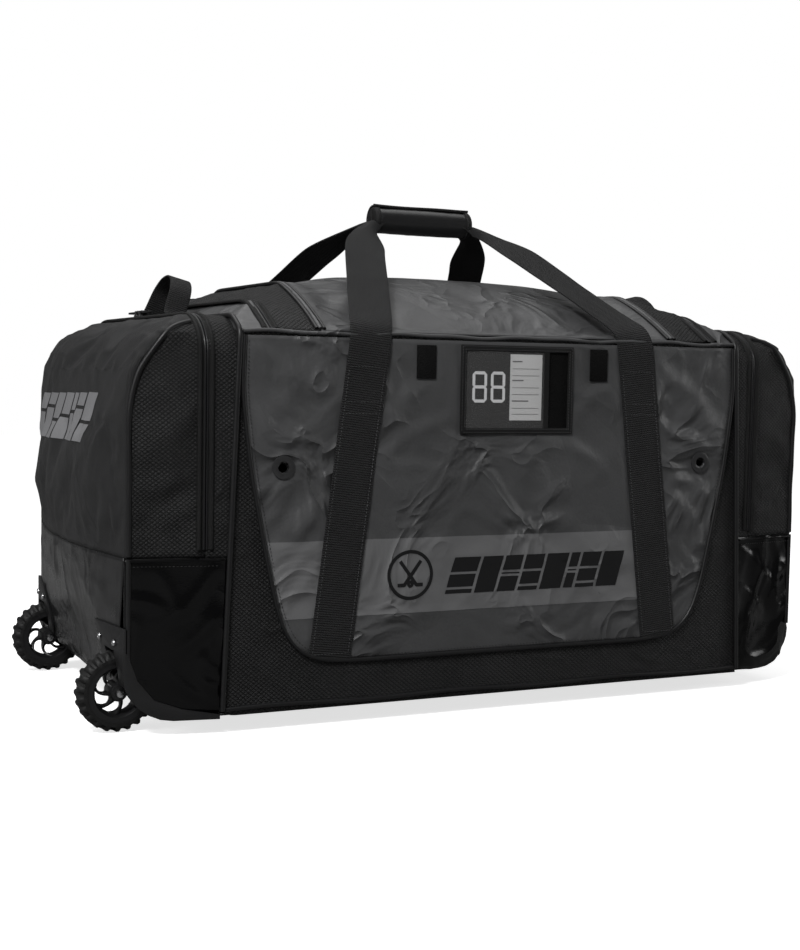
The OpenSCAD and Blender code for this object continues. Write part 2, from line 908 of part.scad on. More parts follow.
module right_slider_back() {
    color("#3a3c3e") on_pocket_zip(1, 1) slider();
}

module right_tab_front() {
    color("#141415") on_pocket_zip(1, -1) pull_tab();
}

module right_tab_back() {
    color("#141415") on_pocket_zip(1, 1) pull_tab();
}

// ---------- what is drawn ----------

floor_panel();
base_board();
front_panel();
back_panel();
dividers();
side_rims();
back_rim();
front_tarp_panel();
seam_piping();
pocket_collars();
kick_panels();
left_end_base();
right_end_base();
front_wheel_bracket();
back_wheel_bracket();
bracket_rivets();
wheel_axles();
skid_rails();
front_sewn_straps();
back_sewn_straps();
vent_grommets();
hook_patches();
id_window_frame();
id_window_film();
id_cards();
rim_zip_tape();
pocket_zip_tapes();
grab_loop_feet();
lid_dome();
left_lid_gusset();
right_lid_gusset();
lid_zip_edging();
front_handle_loop();
front_grip_half();
back_handle_loop();
back_grip_half();
left_end_panel();
left_pocket_gusset();
left_pocket_edging();
right_end_panel();
right_pocket_gusset();
right_pocket_edging();
front_wheel_tyre();
front_wheel_hub();
back_wheel_tyre();
back_wheel_hub();
left_grab_loop();
right_grab_loop();
lid_slider_left();
lid_slider_right();
lid_tab_left();
lid_tab_right();
left_slider_front();
left_slider_back();
left_tab_front();
left_tab_back();
right_slider_front();
right_slider_back();
right_tab_front();
right_tab_back();
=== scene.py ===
# %% [markdown]
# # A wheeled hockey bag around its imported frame
# The frame holds every hard size, joint and seam line of the bag. This lesson dresses it: each cloth
# panel is cut from the solid that holds its place, creased as the real cloth is, and given its own
# weave. Hard pieces keep their solids or get a finer shape where the real moulding has one.

# %% Load the frame and keep its box
import json
import math
import bpy
import numpy as np
from mathutils import Euler, Matrix, Vector, noise
from mathutils.bvhtree import BVHTree

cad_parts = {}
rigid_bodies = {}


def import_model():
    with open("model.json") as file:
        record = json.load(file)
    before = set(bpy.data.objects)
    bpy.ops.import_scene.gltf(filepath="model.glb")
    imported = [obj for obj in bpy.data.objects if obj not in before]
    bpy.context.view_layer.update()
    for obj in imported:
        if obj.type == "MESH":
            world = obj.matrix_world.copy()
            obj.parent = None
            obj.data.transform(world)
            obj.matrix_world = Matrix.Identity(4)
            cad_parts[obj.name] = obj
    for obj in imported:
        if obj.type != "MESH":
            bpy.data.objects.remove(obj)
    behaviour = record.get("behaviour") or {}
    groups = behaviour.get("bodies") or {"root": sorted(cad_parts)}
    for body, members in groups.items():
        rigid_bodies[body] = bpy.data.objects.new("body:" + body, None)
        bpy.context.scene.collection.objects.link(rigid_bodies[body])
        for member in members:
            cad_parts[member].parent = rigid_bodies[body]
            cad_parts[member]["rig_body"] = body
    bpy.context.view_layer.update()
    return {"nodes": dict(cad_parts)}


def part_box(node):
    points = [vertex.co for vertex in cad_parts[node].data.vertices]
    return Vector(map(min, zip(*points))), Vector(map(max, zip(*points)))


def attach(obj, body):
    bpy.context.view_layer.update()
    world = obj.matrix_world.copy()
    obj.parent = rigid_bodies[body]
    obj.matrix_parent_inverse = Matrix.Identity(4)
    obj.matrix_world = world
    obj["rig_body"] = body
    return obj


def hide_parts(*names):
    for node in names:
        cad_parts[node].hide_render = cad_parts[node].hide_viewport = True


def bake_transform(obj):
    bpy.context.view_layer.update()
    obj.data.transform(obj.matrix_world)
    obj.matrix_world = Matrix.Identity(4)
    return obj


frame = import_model()
nodes = frame["nodes"]

# %% [markdown]
# ## Sizes read from the frame
# A seam, a zip or a hem is always where two solids meet, so the places used below come from the boxes
# of the solids. Only things that have no solid, such as stitch lengths, get numbers of their own.

# %% Seam lines and zips
SIDES, FACES = ((-1, "left"), (1, "right")), ((-1, "front"), (1, "back"))
front_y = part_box("front_panel")[0].y
back_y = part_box("back_panel")[1].y
floor_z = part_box("front_panel")[0].z
seam_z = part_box("front_panel")[1].z
mid_x = sum(c.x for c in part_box("front_panel")) / 2
half_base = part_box("front_panel")[1].x - mid_x
half_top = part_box("side_rims")[1].x - mid_x
kick_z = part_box("left_pocket_gusset")[0].z
pocket_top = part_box("left_pocket_gusset")[1].z
zip_x = mid_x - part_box("left_pocket_gusset")[1].x
end_x = mid_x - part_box("left_pocket_gusset")[0].x
pocket_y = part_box("left_end_panel")[1].y
lid_zip_x = mid_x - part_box("left_lid_gusset")[0].x
welt_x = mid_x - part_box("lid_dome")[0].x
lid_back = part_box("lid_dome")[1].y
for label, size in (("seam", seam_z), ("zip", zip_x), ("end", end_x), ("lid back", lid_back)):
    print(label, round(size, 3))

# %% [markdown]
# ## Camera, light and floor
# The camera stands low and to the left of the bag, a little under two metres off, with a long lens. The
# cloths are nearly black, so they show their creases only where soft lights graze them: one box high
# on the left rakes the front, one lights the lid from behind, one stands at each end, and a broad
# weak sun stands for a high window. The pale floor looks white, and gives the bag little light
# from below, as a floor does in the bag's own shade.

# %% The camera
camera_at = (-0.8355, -1.7473, 0.3942)
turn_right, tilt_down, roll = math.radians(25.24), math.radians(3.93), math.radians(1.01)
look = Euler((math.radians(90) - tilt_down, 0, -turn_right)).to_matrix() @ Matrix.Rotation(roll, 3, "Z")
bpy.ops.object.camera_add(location=camera_at, rotation=look.to_euler())
camera = bpy.context.object
camera.data.lens = 55.9
camera.data.sensor_width = 36
bpy.context.scene.camera = camera
print("camera", round((Vector(camera_at) - Vector((mid_x, 0, 0.25))).length, 2), "m from the bag")

# %% Room, floor and soft lights
scene = bpy.context.scene
scene.view_settings.view_transform = "Standard"
scene.world = bpy.data.worlds.new("pale room")
scene.world.use_nodes = True
scene.world.node_tree.nodes["Background"].inputs["Color"].default_value = (1, 1, 1, 1)
room = scene.world.node_tree
room.nodes["Background"].inputs["Strength"].default_value = 0.10
bright = room.nodes.new("ShaderNodeBackground")
bright.inputs["Color"].default_value = (1, 1, 1, 1)
bright.inputs["Strength"].default_value = 1.0
seen = room.nodes.new("ShaderNodeLightPath")
either = room.nodes.new("ShaderNodeMixShader")
room.links.new(seen.outputs["Is Camera Ray"], either.inputs[0])
room.links.new(room.nodes["Background"].outputs[0], either.inputs[1])
room.links.new(bright.outputs[0], either.inputs[2])
room.links.new(either.outputs[0], room.nodes["World Output"].inputs[0])


def soft_light(name, at, aim, size, watts):
    """A square area light at a place, turned towards a point."""
    turn = (Vector(aim) - Vector(at)).to_track_quat("-Z", "Y").to_euler()
    bpy.ops.object.light_add(type="AREA", location=at, rotation=turn)
    lamp = bpy.context.object
    lamp.name = name
    lamp.data.size = size
    lamp.data.energy = watts
    return lamp


soft_light("overhead_box", (-0.3, 0.9, 2.3), (0, 0, 0.3), 1.6, 9)
soft_light("left_box", (-2.4, -0.5, 1.2), (-0.4, 0, 0.25), 0.8, 9)
soft_light("raking_box", (-1.7, -1.5, 2.3), (0.1, -0.24, 0.30), 0.7, 62)
soft_light("right_box", (2.5, -0.9, 0.9), (0.4, 0, 0.25), 0.8, 10)
bpy.ops.object.light_add(type="SUN", rotation=(math.radians(-14), math.radians(8), 0))
sky = bpy.context.object
sky.name = "high_window"
sky.data.energy = 0.7
sky.data.angle = math.radians(60)
bpy.ops.mesh.primitive_plane_add(size=14, location=(0, 0, -0.0005))
floor = bpy.context.object
floor.name = "studio_floor"
floor_paint = bpy.data.materials.new("pale floor")
floor_paint.use_nodes = True
tree = floor_paint.node_tree
paint = tree.nodes["Principled BSDF"]
paint.inputs["Roughness"].default_value = 0.85
paint.inputs["Emission Strength"].default_value = 1.0
seen = tree.nodes.new("ShaderNodeLightPath").outputs["Is Camera Ray"]
for key, off, on in (("Base Color", 0.22, 0.9), ("Emission Color", 0.0, 0.72)):
    pick = tree.nodes.new("ShaderNodeMapRange")
    pick.inputs[3].default_value, pick.inputs[4].default_value = off, on
    tree.links.new(seen, pick.inputs[0])
    tree.links.new(pick.outputs[0], paint.inputs[key])
floor.data.materials.append(floor_paint)

# %% [markdown]
# ## Building blocks for materials
# All the cloths share a few effects: threads over and under each other, a raised diamond grid, a fine
# grain and slow cloudy wear. Each is a node group, built once, with its scale and depth as inputs, and
# every material places it with its own values. The groups only put out masks and heights.

# %% Node helpers


def add_node(tree, kind, values=None, **settings):
    """A node of a kind, with its settings and its inputs' values or the sockets that feed them."""
    node = tree.nodes.new(kind)
    for key, value in settings.items():
        setattr(node, key, value)
    for key, value in (values or {}).items():
        if isinstance(value, bpy.types.NodeSocket):
            tree.links.new(value, node.inputs[key])
        else:
            node.inputs[key].default_value = value
    return node


def math_node(tree, operation, a, b=None):
    """The output of one Math node."""
    values = {0: a} if b is None else {0: a, 1: b}
    return add_node(tree, "ShaderNodeMath", values, operation=operation).outputs[0]


def new_group(name, inputs, outputs):
    """A node group with named inputs (name, kind, value) and outputs (name, kind)."""
    tree = bpy.data.node_groups.new(name, "ShaderNodeTree")
    for label, kind, value in inputs:
        socket = tree.interface.new_socket(label, in_out="INPUT", socket_type=kind)
        if value is not None:
            socket.default_value = value
    for label, kind in outputs:
        tree.interface.new_socket(label, in_out="OUTPUT", socket_type=kind)
    return tree, tree.nodes.new("NodeGroupInput").outputs, tree.nodes.new("NodeGroupOutput").inputs


def place_group(tree, group, values):
    """One use of a node group in a material."""
    return add_node(tree, "ShaderNodeGroup", values, node_tree=group).outputs


def colour_socket(sockets, name):
    """The colour socket with this name; a Mix node has others of the same name for plain numbers."""
    return [s for s in sockets if s.name == name and s.type == "RGBA"][0]


VALUE, VECTOR = "NodeSocketFloat", "NodeSocketVector"

# %% Threads over and under each other


def build_weave():
    """Plain weave: two sets of round threads whose heights swap in a chequer."""
    tree, given, out = new_group("thread weave",
                                 [("Vector", VECTOR, None), ("Threads per metre", VALUE, 1500.0)],
                                 [("Height", VALUE)])
    scaled = add_node(tree, "ShaderNodeVectorMath", {0: given["Vector"]}, operation="SCALE")
    tree.links.new(given["Threads per metre"], scaled.inputs["Scale"])
    split = add_node(tree, "ShaderNodeSeparateXYZ", {0: scaled.outputs[0]})
    u = math_node(tree, "SINE", math_node(tree, "MULTIPLY", split.outputs[0], math.pi))
    v = math_node(tree, "SINE", math_node(tree, "MULTIPLY", split.outputs[1], math.pi))
    crossed = math_node(tree, "MULTIPLY", u, v)
    tree.links.new(math_node(tree, "ABSOLUTE", crossed), out["Height"])
    return tree


def build_diamonds():
    """Ripstop: a diagonal grid of thick threads that stands up round small diamond cells."""
    tree, given, out = new_group("ripstop diamonds", [("Vector", VECTOR, None), ("Cell", VALUE, 0.0034),
                                                      ("Thread share", VALUE, 0.28)], [("Grid", VALUE)])
    split = add_node(tree, "ShaderNodeSeparateXYZ", {0: given["Vector"]})
    flat = math_node(tree, "MULTIPLY", split.outputs[1], 1.25)
    lines = []
    for operation in ("ADD", "SUBTRACT"):
        slant = math_node(tree, "MULTIPLY", math_node(tree, operation, split.outputs[0], flat), 0.7071)
        phase = math_node(tree, "PINGPONG", math_node(tree, "DIVIDE", slant, given["Cell"]), 0.5)
        fade = {0: phase, 1: 0.0, 2: given["Thread share"], 3: 1.0, 4: 0.0}
        line = add_node(tree, "ShaderNodeMapRange", fade, interpolation_type="SMOOTHSTEP")
        lines.append(line.outputs[0])
    tree.links.new(math_node(tree, "MAXIMUM", *lines), out["Grid"])
    return tree


def build_ribs():
    """Webbing: rounded ribs across the band, each broken into the two slopes of its threads."""
    tree, given, out = new_group("webbing ribs", [("Vector", VECTOR, None), ("Pitch", VALUE, 0.0022)],
                                 [("Height", VALUE)])
    split = add_node(tree, "ShaderNodeSeparateXYZ", {0: given["Vector"]})
    zigzag = math_node(tree, "PINGPONG", math_node(tree, "DIVIDE", split.outputs[0], given["Pitch"]), 0.6)
    along = math_node(tree, "DIVIDE", split.outputs[1], given["Pitch"])
    phase = math_node(tree, "ADD", along, math_node(tree, "MULTIPLY", zigzag, 0.35))
    wave = math_node(tree, "SINE", math_node(tree, "MULTIPLY", phase, 2 * math.pi))
    tree.links.new(math_node(tree, "ADD", math_node(tree, "MULTIPLY", wave, 0.5), 0.5), out["Height"])
    return tree


def build_grain():
    """Leather or moulded grain: rounded cells of mixed size."""
    tree, given, out = new_group("fine grain", [("Vector", VECTOR, None), ("Cells per metre", VALUE, 900.0)],
                                 [("Height", VALUE)])
    cells = add_node(tree, "ShaderNodeTexVoronoi",
                     {"Vector": given["Vector"], "Scale": given["Cells per metre"]}, feature="SMOOTH_F1")
    fine = add_node(tree, "ShaderNodeTexNoise", {"Vector": given["Vector"], "Scale": given["Cells per metre"],
                                                 "Detail": 3.0})
    tree.links.new(math_node(tree, "ADD", cells.outputs["Distance"],
                             math_node(tree, "MULTIPLY", fine.outputs[0], 0.4)), out["Height"])
    return tree


def build_wear():
    """Slow cloudy patches where cloth has been handled, with finer streaks in them."""
    tree, given, out = new_group("cloudy wear", [("Vector", VECTOR, None), ("Scale", VALUE, 9.0)],
                                 [("Mask", VALUE)])
    cloud = add_node(tree, "ShaderNodeTexNoise", {"Vector": given["Vector"], "Scale": given["Scale"],
                                                  "Detail": 6.0, "Roughness": 0.62, "Distortion": 0.6})
    tree.links.new(add_node(tree, "ShaderNodeMapRange", {0: cloud.outputs[0], 1: 0.32, 2: 0.7}).outputs[0],
                   out["Mask"])
    return tree


def build_wrinkles():
    """Fine handling creases in coated cloth: sharp ridges with slack between them, in broken patches."""
    tree, given, out = new_group("handling wrinkles", [("Vector", VECTOR, None), ("Scale", VALUE, 16.0)],
                                 [("Height", VALUE)])
    ridge = add_node(tree, "ShaderNodeTexNoise", {"Vector": given["Vector"], "Scale": given["Scale"],
                                                  "Detail": 2.5, "Roughness": 0.45, "Distortion": 0.9})
    fold = math_node(tree, "ABSOLUTE", math_node(tree, "SUBTRACT", ridge.outputs[0], 0.5))
    sharp = math_node(tree, "POWER", math_node(tree, "SUBTRACT", 1.0, math_node(tree, "MULTIPLY", fold, 2.6)),
                      3.0)
    patch = add_node(tree, "ShaderNodeTexNoise", {"Vector": given["Vector"], "Scale": 6.5, "Detail": 1.0})
    where = add_node(tree, "ShaderNodeMapRange", {0: patch.outputs[0], 1: 0.42, 2: 0.62})
    tree.links.new(math_node(tree, "MULTIPLY", sharp, where.outputs[0]), out["Height"])
    return tree


weave, diamonds, ribs = build_weave(), build_diamonds(), build_ribs()
grain, wear, wrinkles = build_grain(), build_wear(), build_wrinkles()
print("groups", [g.name for g in bpy.data.node_groups])

# %% [markdown]
# ## The finishes
# A cloth is a dark, rough body with a little sheen and a weave in its bump. Coated tarpaulin is smoother
# and its coat catches the light on every crease; vinyl is smoother still. Colours are a little uneven
# over the piece, because dyed cloth always is. Patterns on cloth follow the piece's own flat layout,
# kept as a UV map in metres, and patterns on mouldings follow the piece's place. One colour for each
# would be quicker, but near-black cloths only tell apart by how rough and how patterned they are.

# %% One helper makes them all


def finish(name, colour, rough, metal=0.0, coat=0.0, coat_rough=0.3, sheen=0.0, specular=0.5, uneven=0.18,
           wear_scale=9.0, layers=(), painted_relief_tone=None, rough_spread=0.08):
    """A material. layers are (group, its values, bump distance in metres, cloth layout or place);
    the relief tone names a layer whose raised parts get a colour that paints light and shade on them."""
    paint = bpy.data.materials.new(name)
    paint.use_nodes = True
    tree = paint.node_tree
    body = tree.nodes["Principled BSDF"]
    body.inputs["Metallic"].default_value = metal
    body.inputs["Coat Weight"].default_value = coat
    body.inputs["Coat Roughness"].default_value = coat_rough
    body.inputs["Sheen Weight"].default_value = sheen
    body.inputs["Sheen Roughness"].default_value = 0.45
    body.inputs["Specular IOR Level"].default_value = specular
    place = add_node(tree, "ShaderNodeTexCoord").outputs["Object"]
    cloth = add_node(tree, "ShaderNodeUVMap", uv_map="cloth").outputs[0]
    patches = place_group(tree, wear, {"Vector": place, "Scale": wear_scale})["Mask"]
    dark = [c * (1 - uneven) for c in colour] + [1]
    light = [c * (1 + uneven) for c in colour] + [1]
    tone = add_node(tree, "ShaderNodeMix", {"Factor": patches}, data_type="RGBA")
    colour_socket(tone.inputs, "A").default_value = dark
    colour_socket(tone.inputs, "B").default_value = light
    colour_out = colour_socket(tone.outputs, "Result")
    normal = None
    for group, values, depth, layout in layers:
        raised = place_group(tree, group, {"Vector": cloth if layout == "cloth" else place, **values})[0]
        bump = add_node(tree, "ShaderNodeBump", {"Height": raised, "Distance": depth, "Strength": 1.0})
        if normal is not None:
            tree.links.new(normal, bump.inputs["Normal"])
        normal = bump.outputs[0]
        # Painted light and shade: the raised parts of the named layer take a colour that stands for the sheen
        # or highlight they catch.
        if painted_relief_tone and painted_relief_tone[0] == group.name:
            mixed = add_node(tree, "ShaderNodeMix", {"Factor": raised}, data_type="RGBA")
            tree.links.new(colour_out, colour_socket(mixed.inputs, "A"))
            colour_socket(mixed.inputs, "B").default_value = (*painted_relief_tone[1], 1)
            colour_out = colour_socket(mixed.outputs, "Result")
    tree.links.new(colour_out, body.inputs["Base Color"])
    limits = {0: patches, 3: rough + rough_spread, 4: rough - rough_spread}
    tree.links.new(add_node(tree, "ShaderNodeMapRange", limits).outputs[0], body.inputs["Roughness"])
    if normal is not None:
        tree.links.new(normal, body.inputs["Normal"])
    return paint


# %% [markdown]
# Ripstop is a dark cloth whose thick threads stand up as small diamonds, so its grid is a bump and a
# darker colour in one; the grid's darker colour is painted, and stands for the sheen that the cells catch
# and the grid does not. The tarpaulin is a woven base under a thick grey skin: the threads hardly show,
# but every handling crease does. Webbing has deep ribs whose crests are painted paler, a painted
# highlight where they catch the light. Woven in threads would need millions of faces, so all of this is
# bump on top of the creases that are in the mesh.

# %% Layers in a maker's words


def creased(scale, depth):
    """The handling wrinkles as a layer."""
    return (wrinkles, {"Scale": float(scale)}, depth, "place")


def woven(threads, depth, layout="cloth"):
    """The thread weave as a layer, by its threads per metre."""
    return (weave, {"Threads per metre": float(threads)}, depth, layout)


def grained(cells, depth, layout="place"):
    """The fine grain as a layer, by its cells per metre."""
    return (grain, {"Cells per metre": float(cells)}, depth, layout)


# %% Cloths
# The darker colour of the ripstop's diamond grid is painted: it stands for the sheen that the cells between
# the thick threads catch and the grid does not.
ripstop = finish("black ripstop", (0.019, 0.019, 0.0195), 0.52, specular=0.30, uneven=0.25,
                 layers=[creased(13, 0.0035),
                         (diamonds, {"Cell": 0.0042}, -0.0012, "cloth"),
                         woven(2600, 0.00010)],
                 painted_relief_tone=("ripstop diamonds", (0.0012, 0.0012, 0.0013)))
tarpaulin = finish("grey tarpaulin", (0.066, 0.0665, 0.068), 0.42, coat=0.15, coat_rough=0.30, specular=0.35,
                   uneven=0.14, layers=[creased(11, 0.0080),
                                        woven(1400, 0.00005),
                                        grained(260, 0.0002, "cloth")])
polyester = finish("plain polyester", (0.0115, 0.0115, 0.0120), 0.60, sheen=0.04, specular=0.28,
                   layers=[creased(7, 0.0040),
                           woven(1700, 0.00014)])
vinyl = finish("glossy vinyl", (0.0010, 0.0010, 0.0012), 0.19, coat=0.04, coat_rough=0.10, specular=0.26,
               uneven=0.1, layers=[creased(9, 0.0110), grained(700, 0.00010, "cloth")])
# The skirt tarpaulin is a much darker copy of the grey tarpaulin: its darker colour is painted shade low on
# the ends.
skirt_tarpaulin_painted_shade = finish("skirt tarpaulin", (0.0095, 0.0095, 0.010), 0.26, coat=0.20, coat_rough=0.18,
                     specular=0.45, uneven=0.1, layers=[creased(8, 0.0095), woven(1400, 0.00005)])
# The paler colour on the webbing's rib crests is a painted highlight, where the raised ribs catch the light.
webbing = finish("ribbed webbing", (0.0045, 0.0045, 0.0047), 0.62, sheen=0.03, specular=0.28,
                 layers=[(ribs, {"Pitch": 0.0026}, 0.0016, "cloth"),
                         woven(2400, 0.00015)],
                 painted_relief_tone=("webbing ribs", (0.024, 0.024, 0.025)))
binding = finish("grosgrain binding", (0.0065, 0.0065, 0.0065), 0.6, specular=0.3,
                 layers=[woven(2000, 0.00015, "place")])
piping_skin = finish("piping skin", (0.006, 0.006, 0.0065), 0.42, coat=0.08, specular=0.4,
                     layers=[grained(1200, 0.0001)])
coil = finish("nylon coil", (0.010, 0.010, 0.011), 0.34, specular=0.5)
tape = finish("zip tape", (0.0085, 0.0085, 0.0085), 0.62, specular=0.25,
              layers=[woven(2600, 0.00015)])
lining = finish("coated floor cloth", (0.010, 0.010, 0.011), 0.5, specular=0.3,
                layers=[woven(1200, 0.00015)])
reflective = finish("lighter tarpaulin band", (0.150, 0.1505, 0.153), 0.44, coat=0.12, coat_rough=0.3,
                    specular=0.35, uneven=0.10, layers=[creased(11, 0.0050), woven(1400, 0.00005)])
dark_print = finish("dark print", (0.0085, 0.0085, 0.009), 0.45, specular=0.3, uneven=0.1)
silver_print = finish("silver print", (0.30, 0.30, 0.31), 0.42, metal=0.35, uneven=0.14,
                      layers=[woven(1700, 0.0001)])
thread = finish("sewing thread", (0.012, 0.012, 0.0125), 0.55)
pale_thread = finish("grey sewing thread", (0.050, 0.050, 0.052), 0.55)
print("cloths", len(bpy.data.materials))

# %% [markdown]
# The mouldings are near black too, but a mould leaves them a leather-like grain and a soft shine, and
# the rubber of the tyres is duller and dustier. Rivets and axles are plated steel, the only bright metal
# on the bag. A plain grey would do for them; the grain is there because it breaks up the highlight.

# %% Mouldings, metals and small parts
guard_plastic = finish("moulded bracket", (0.0105, 0.0105, 0.011), 0.42, specular=0.45,
                       layers=[grained(1300, 0.00025)])
hub_plastic = finish("wheel hub", (0.009, 0.009, 0.0095), 0.4, layers=[grained(1500, 0.0001)])
rubber = finish("tyre rubber", (0.009, 0.009, 0.009), 0.55, specular=0.35, uneven=0.3, wear_scale=40.0,
                layers=[grained(1800, 0.00015)])
leatherette = finish("grip leatherette", (0.0065, 0.0065, 0.007), 0.34, coat=0.5, coat_rough=0.26,
                     specular=0.5, layers=[grained(800, 0.0003)])
steel = finish("plated steel", (0.62, 0.62, 0.63), 0.26, metal=1.0, uneven=0.06, wear_scale=60.0)
enamel = finish("black enamel", (0.022, 0.022, 0.023), 0.34, coat=0.4, coat_rough=0.12, wear_scale=60.0)
tab_rubber = finish("pull tab rubber", (0.008, 0.008, 0.0085), 0.45,
                    layers=[grained(1600, 0.00015)])
board = finish("base board", (0.03, 0.03, 0.031), 0.5, layers=[grained(500, 0.0003)])
hook_pile = finish("hook tape", (0.0035, 0.0035, 0.0035), 0.85, specular=0.15,
                   layers=[grained(900, 0.0012)])
card_stock = finish("printed card", (0.62, 0.62, 0.62), 0.5, specular=0.3, uneven=0.05)
card_ink = finish("card ink", (0.12, 0.12, 0.12), 0.5)
digit_ink = finish("window digits", (0.75, 0.75, 0.76), 0.45, uneven=0.05)
print("materials", len(bpy.data.materials))

# %% [markdown]
# ## Cutting cloth from the solids
# Every panel of the bag has a plain solid that holds its place. A cloth panel starts as a copy of it,
# and then goes through what a pattern cutter does: the outer skin is kept, it is ruled into an even
# net with bisect cuts, rounded with a subdivision surface whose hems are creased so that they stay on
# the seam lines, and given a flat layout in metres so that the weave follows the cloth.

# %% Selecting and editing helpers
HEART = Vector((mid_x, 0, 0.22))


def only(*objects):
    """Selects these objects alone and makes the first one active."""
    if bpy.context.mode != "OBJECT":
        bpy.ops.object.mode_set(mode="OBJECT")
    bpy.ops.object.select_all(action="DESELECT")
    for piece in objects:
        piece.select_set(True)
    bpy.context.view_layer.objects.active = objects[0]
    return objects[0]


def edit_all(piece):
    """Opens a piece in edit mode with everything selected."""
    only(piece)
    bpy.ops.object.mode_set(mode="EDIT")
    bpy.ops.mesh.select_all(action="SELECT")


def close_edit():
    """Leaves edit mode."""
    bpy.ops.object.mode_set(mode="OBJECT")


def copy_of(node, name):
    """A new object with a merged copy of a solid's mesh, its flat triangles dissolved to whole faces."""
    piece = bpy.data.objects.new(name, nodes[node].data.copy())
    scene.collection.objects.link(piece)
    piece.data.name = name
    piece.data.materials.clear()
    edit_all(piece)
    bpy.ops.mesh.remove_doubles(threshold=0.00002)
    bpy.ops.mesh.dissolve_limited(angle_limit=math.radians(0.4))
    bpy.ops.mesh.customdata_custom_splitnormals_clear()
    close_edit()
    return piece


def points_of(piece):
    """The piece's vertices as an array of places."""
    flat = np.zeros(len(piece.data.vertices) * 3)
    piece.data.vertices.foreach_get("co", flat)
    return flat.reshape(-1, 3)


def move_points(piece, places):
    """Puts the piece's vertices at these places."""
    piece.data.vertices.foreach_set("co", np.asarray(places).ravel())
    piece.data.update()


def normals_of(piece):
    """The piece's vertex normals as an array."""
    flat = np.zeros(len(piece.data.vertices) * 3)
    piece.data.vertex_normals.foreach_get("vector", flat)
    return flat.reshape(-1, 3)


def select_faces(piece, wanted):
    """Opens a piece in edit mode with only the faces that pass a test selected."""
    edit_all(piece)
    bpy.ops.mesh.select_mode(type="FACE")
    bpy.ops.mesh.select_all(action="DESELECT")
    bpy.ops.object.mode_set(mode="OBJECT")
    for face in piece.data.polygons:
        face.select = bool(wanted(face))
    bpy.ops.object.mode_set(mode="EDIT")


def keep_outer_skin(piece):
    """Keeps the faces that look away from the bag's heart and have thin cloth, and no edge, behind them."""
    bpy.context.view_layer.update()
    thin = []
    for face in piece.data.polygons:
        found, hit, _, _ = piece.ray_cast(face.center - face.normal * 0.00002, -face.normal)
        thin.append(found and (hit - face.center).length < 0.009)
    select_faces(piece, lambda face: not thin[face.index] or face.normal.dot(face.center - HEART) < 0)
    bpy.ops.mesh.delete(type="FACE")
    close_edit()


def rule_net(piece, steps):
    """Cuts the skin by evenly spaced planes, so that it can bend anywhere. steps: spacing by axis."""
    edit_all(piece)
    low, high = points_of(piece).min(0), points_of(piece).max(0)
    for axis, step in enumerate(steps):
        if not step:
            continue
        count = max(1, round((high[axis] - low[axis]) / step))
        for i in range(1, count):
            plane = Vector((0, 0, 0))
            plane[axis] = low[axis] + (high[axis] - low[axis]) * i / count
            across = Vector((0, 0, 0))
            across[axis] = 1
            bpy.ops.mesh.select_all(action="SELECT")
            bpy.ops.mesh.bisect(plane_co=plane, plane_no=across, threshold=0.00005)
    close_edit()


def select_open_edges():
    """In edit mode, selects only the edges that have cloth on one side."""
    bpy.ops.mesh.select_all(action="DESELECT")
    bpy.ops.mesh.select_mode(type="EDGE")
    bpy.ops.mesh.select_non_manifold(extend=False, use_wire=False, use_boundary=True,
                                     use_multi_face=False, use_non_contiguous=False, use_verts=False)


def mark_hems(piece):
    """Creases the open edges fully, so that subdivision leaves every hem on its line."""
    edit_all(piece)
    select_open_edges()
    bpy.ops.transform.edge_crease(value=1)
    close_edit()


def apply_modifier(piece, kind, **settings):
    """Adds one modifier, sets it and applies it."""
    only(piece)
    modifier = piece.modifiers.new(kind.lower(), kind)
    for key, value in settings.items():
        setattr(modifier, key, value)
    bpy.ops.object.modifier_apply(modifier=modifier.name)


def join_pieces(pieces, name):
    """Joins pieces into one."""
    only(*pieces)
    bpy.context.view_layer.objects.active = pieces[0]
    if len(pieces) > 1:
        bpy.ops.object.join()
    pieces[0].name = pieces[0].data.name = name
    return pieces[0]


def skin_probe(piece):
    """A probe tree of a finished piece."""
    return BVHTree.FromPolygons([piece.matrix_world @ v.co for v in piece.data.vertices],
                                [f.vertices for f in piece.data.polygons])


def hem_distance(piece):
    """Each vertex's distance in net steps from the nearest open edge, capped at 12."""
    mesh = piece.data
    edges = np.array([e.vertices[:] for e in mesh.edges])
    used = np.zeros(len(mesh.edges), int)
    index = {tuple(sorted(e)): i for i, e in enumerate(edges.tolist())}
    for face in mesh.polygons:
        for key in face.edge_keys:
            used[index[tuple(sorted(key))]] += 1
    far = np.full(len(mesh.vertices), 12.0)
    far[edges[used == 1].ravel()] = 0
    for _ in range(12):
        near = np.minimum(far[edges[:, 0]], far[edges[:, 1]]) + 1
        np.minimum.at(far, edges[:, 0], near)
        np.minimum.at(far, edges[:, 1], near)
    return far


def soften_inside(piece, hems, rounds):
    """Smooths a skin away from its hems, which rounds the folds left where two curved forms met."""
    group = piece.vertex_groups.new(name="inside")
    for i in np.nonzero(hems > 0)[0]:
        group.add([int(i)], 1.0, "REPLACE")
    apply_modifier(piece, "SMOOTH", factor=0.5, iterations=rounds, vertex_group="inside")
    piece.vertex_groups.clear()


# %% Flat layouts: how each cloth was cut from its roll
WRAP_R = 0.060


def unrolled(y, z):
    """Distance round the bag's side profile, from the top of its straight wall over the corner."""
    corner_y, corner_z = abs(front_y) - WRAP_R, pocket_top - WRAP_R
    out, up = abs(y) - corner_y, z - corner_z
    if up <= 0:
        return up
    if out <= 0:
        return WRAP_R * math.pi / 2 - out
    return WRAP_R * math.atan2(up, out)


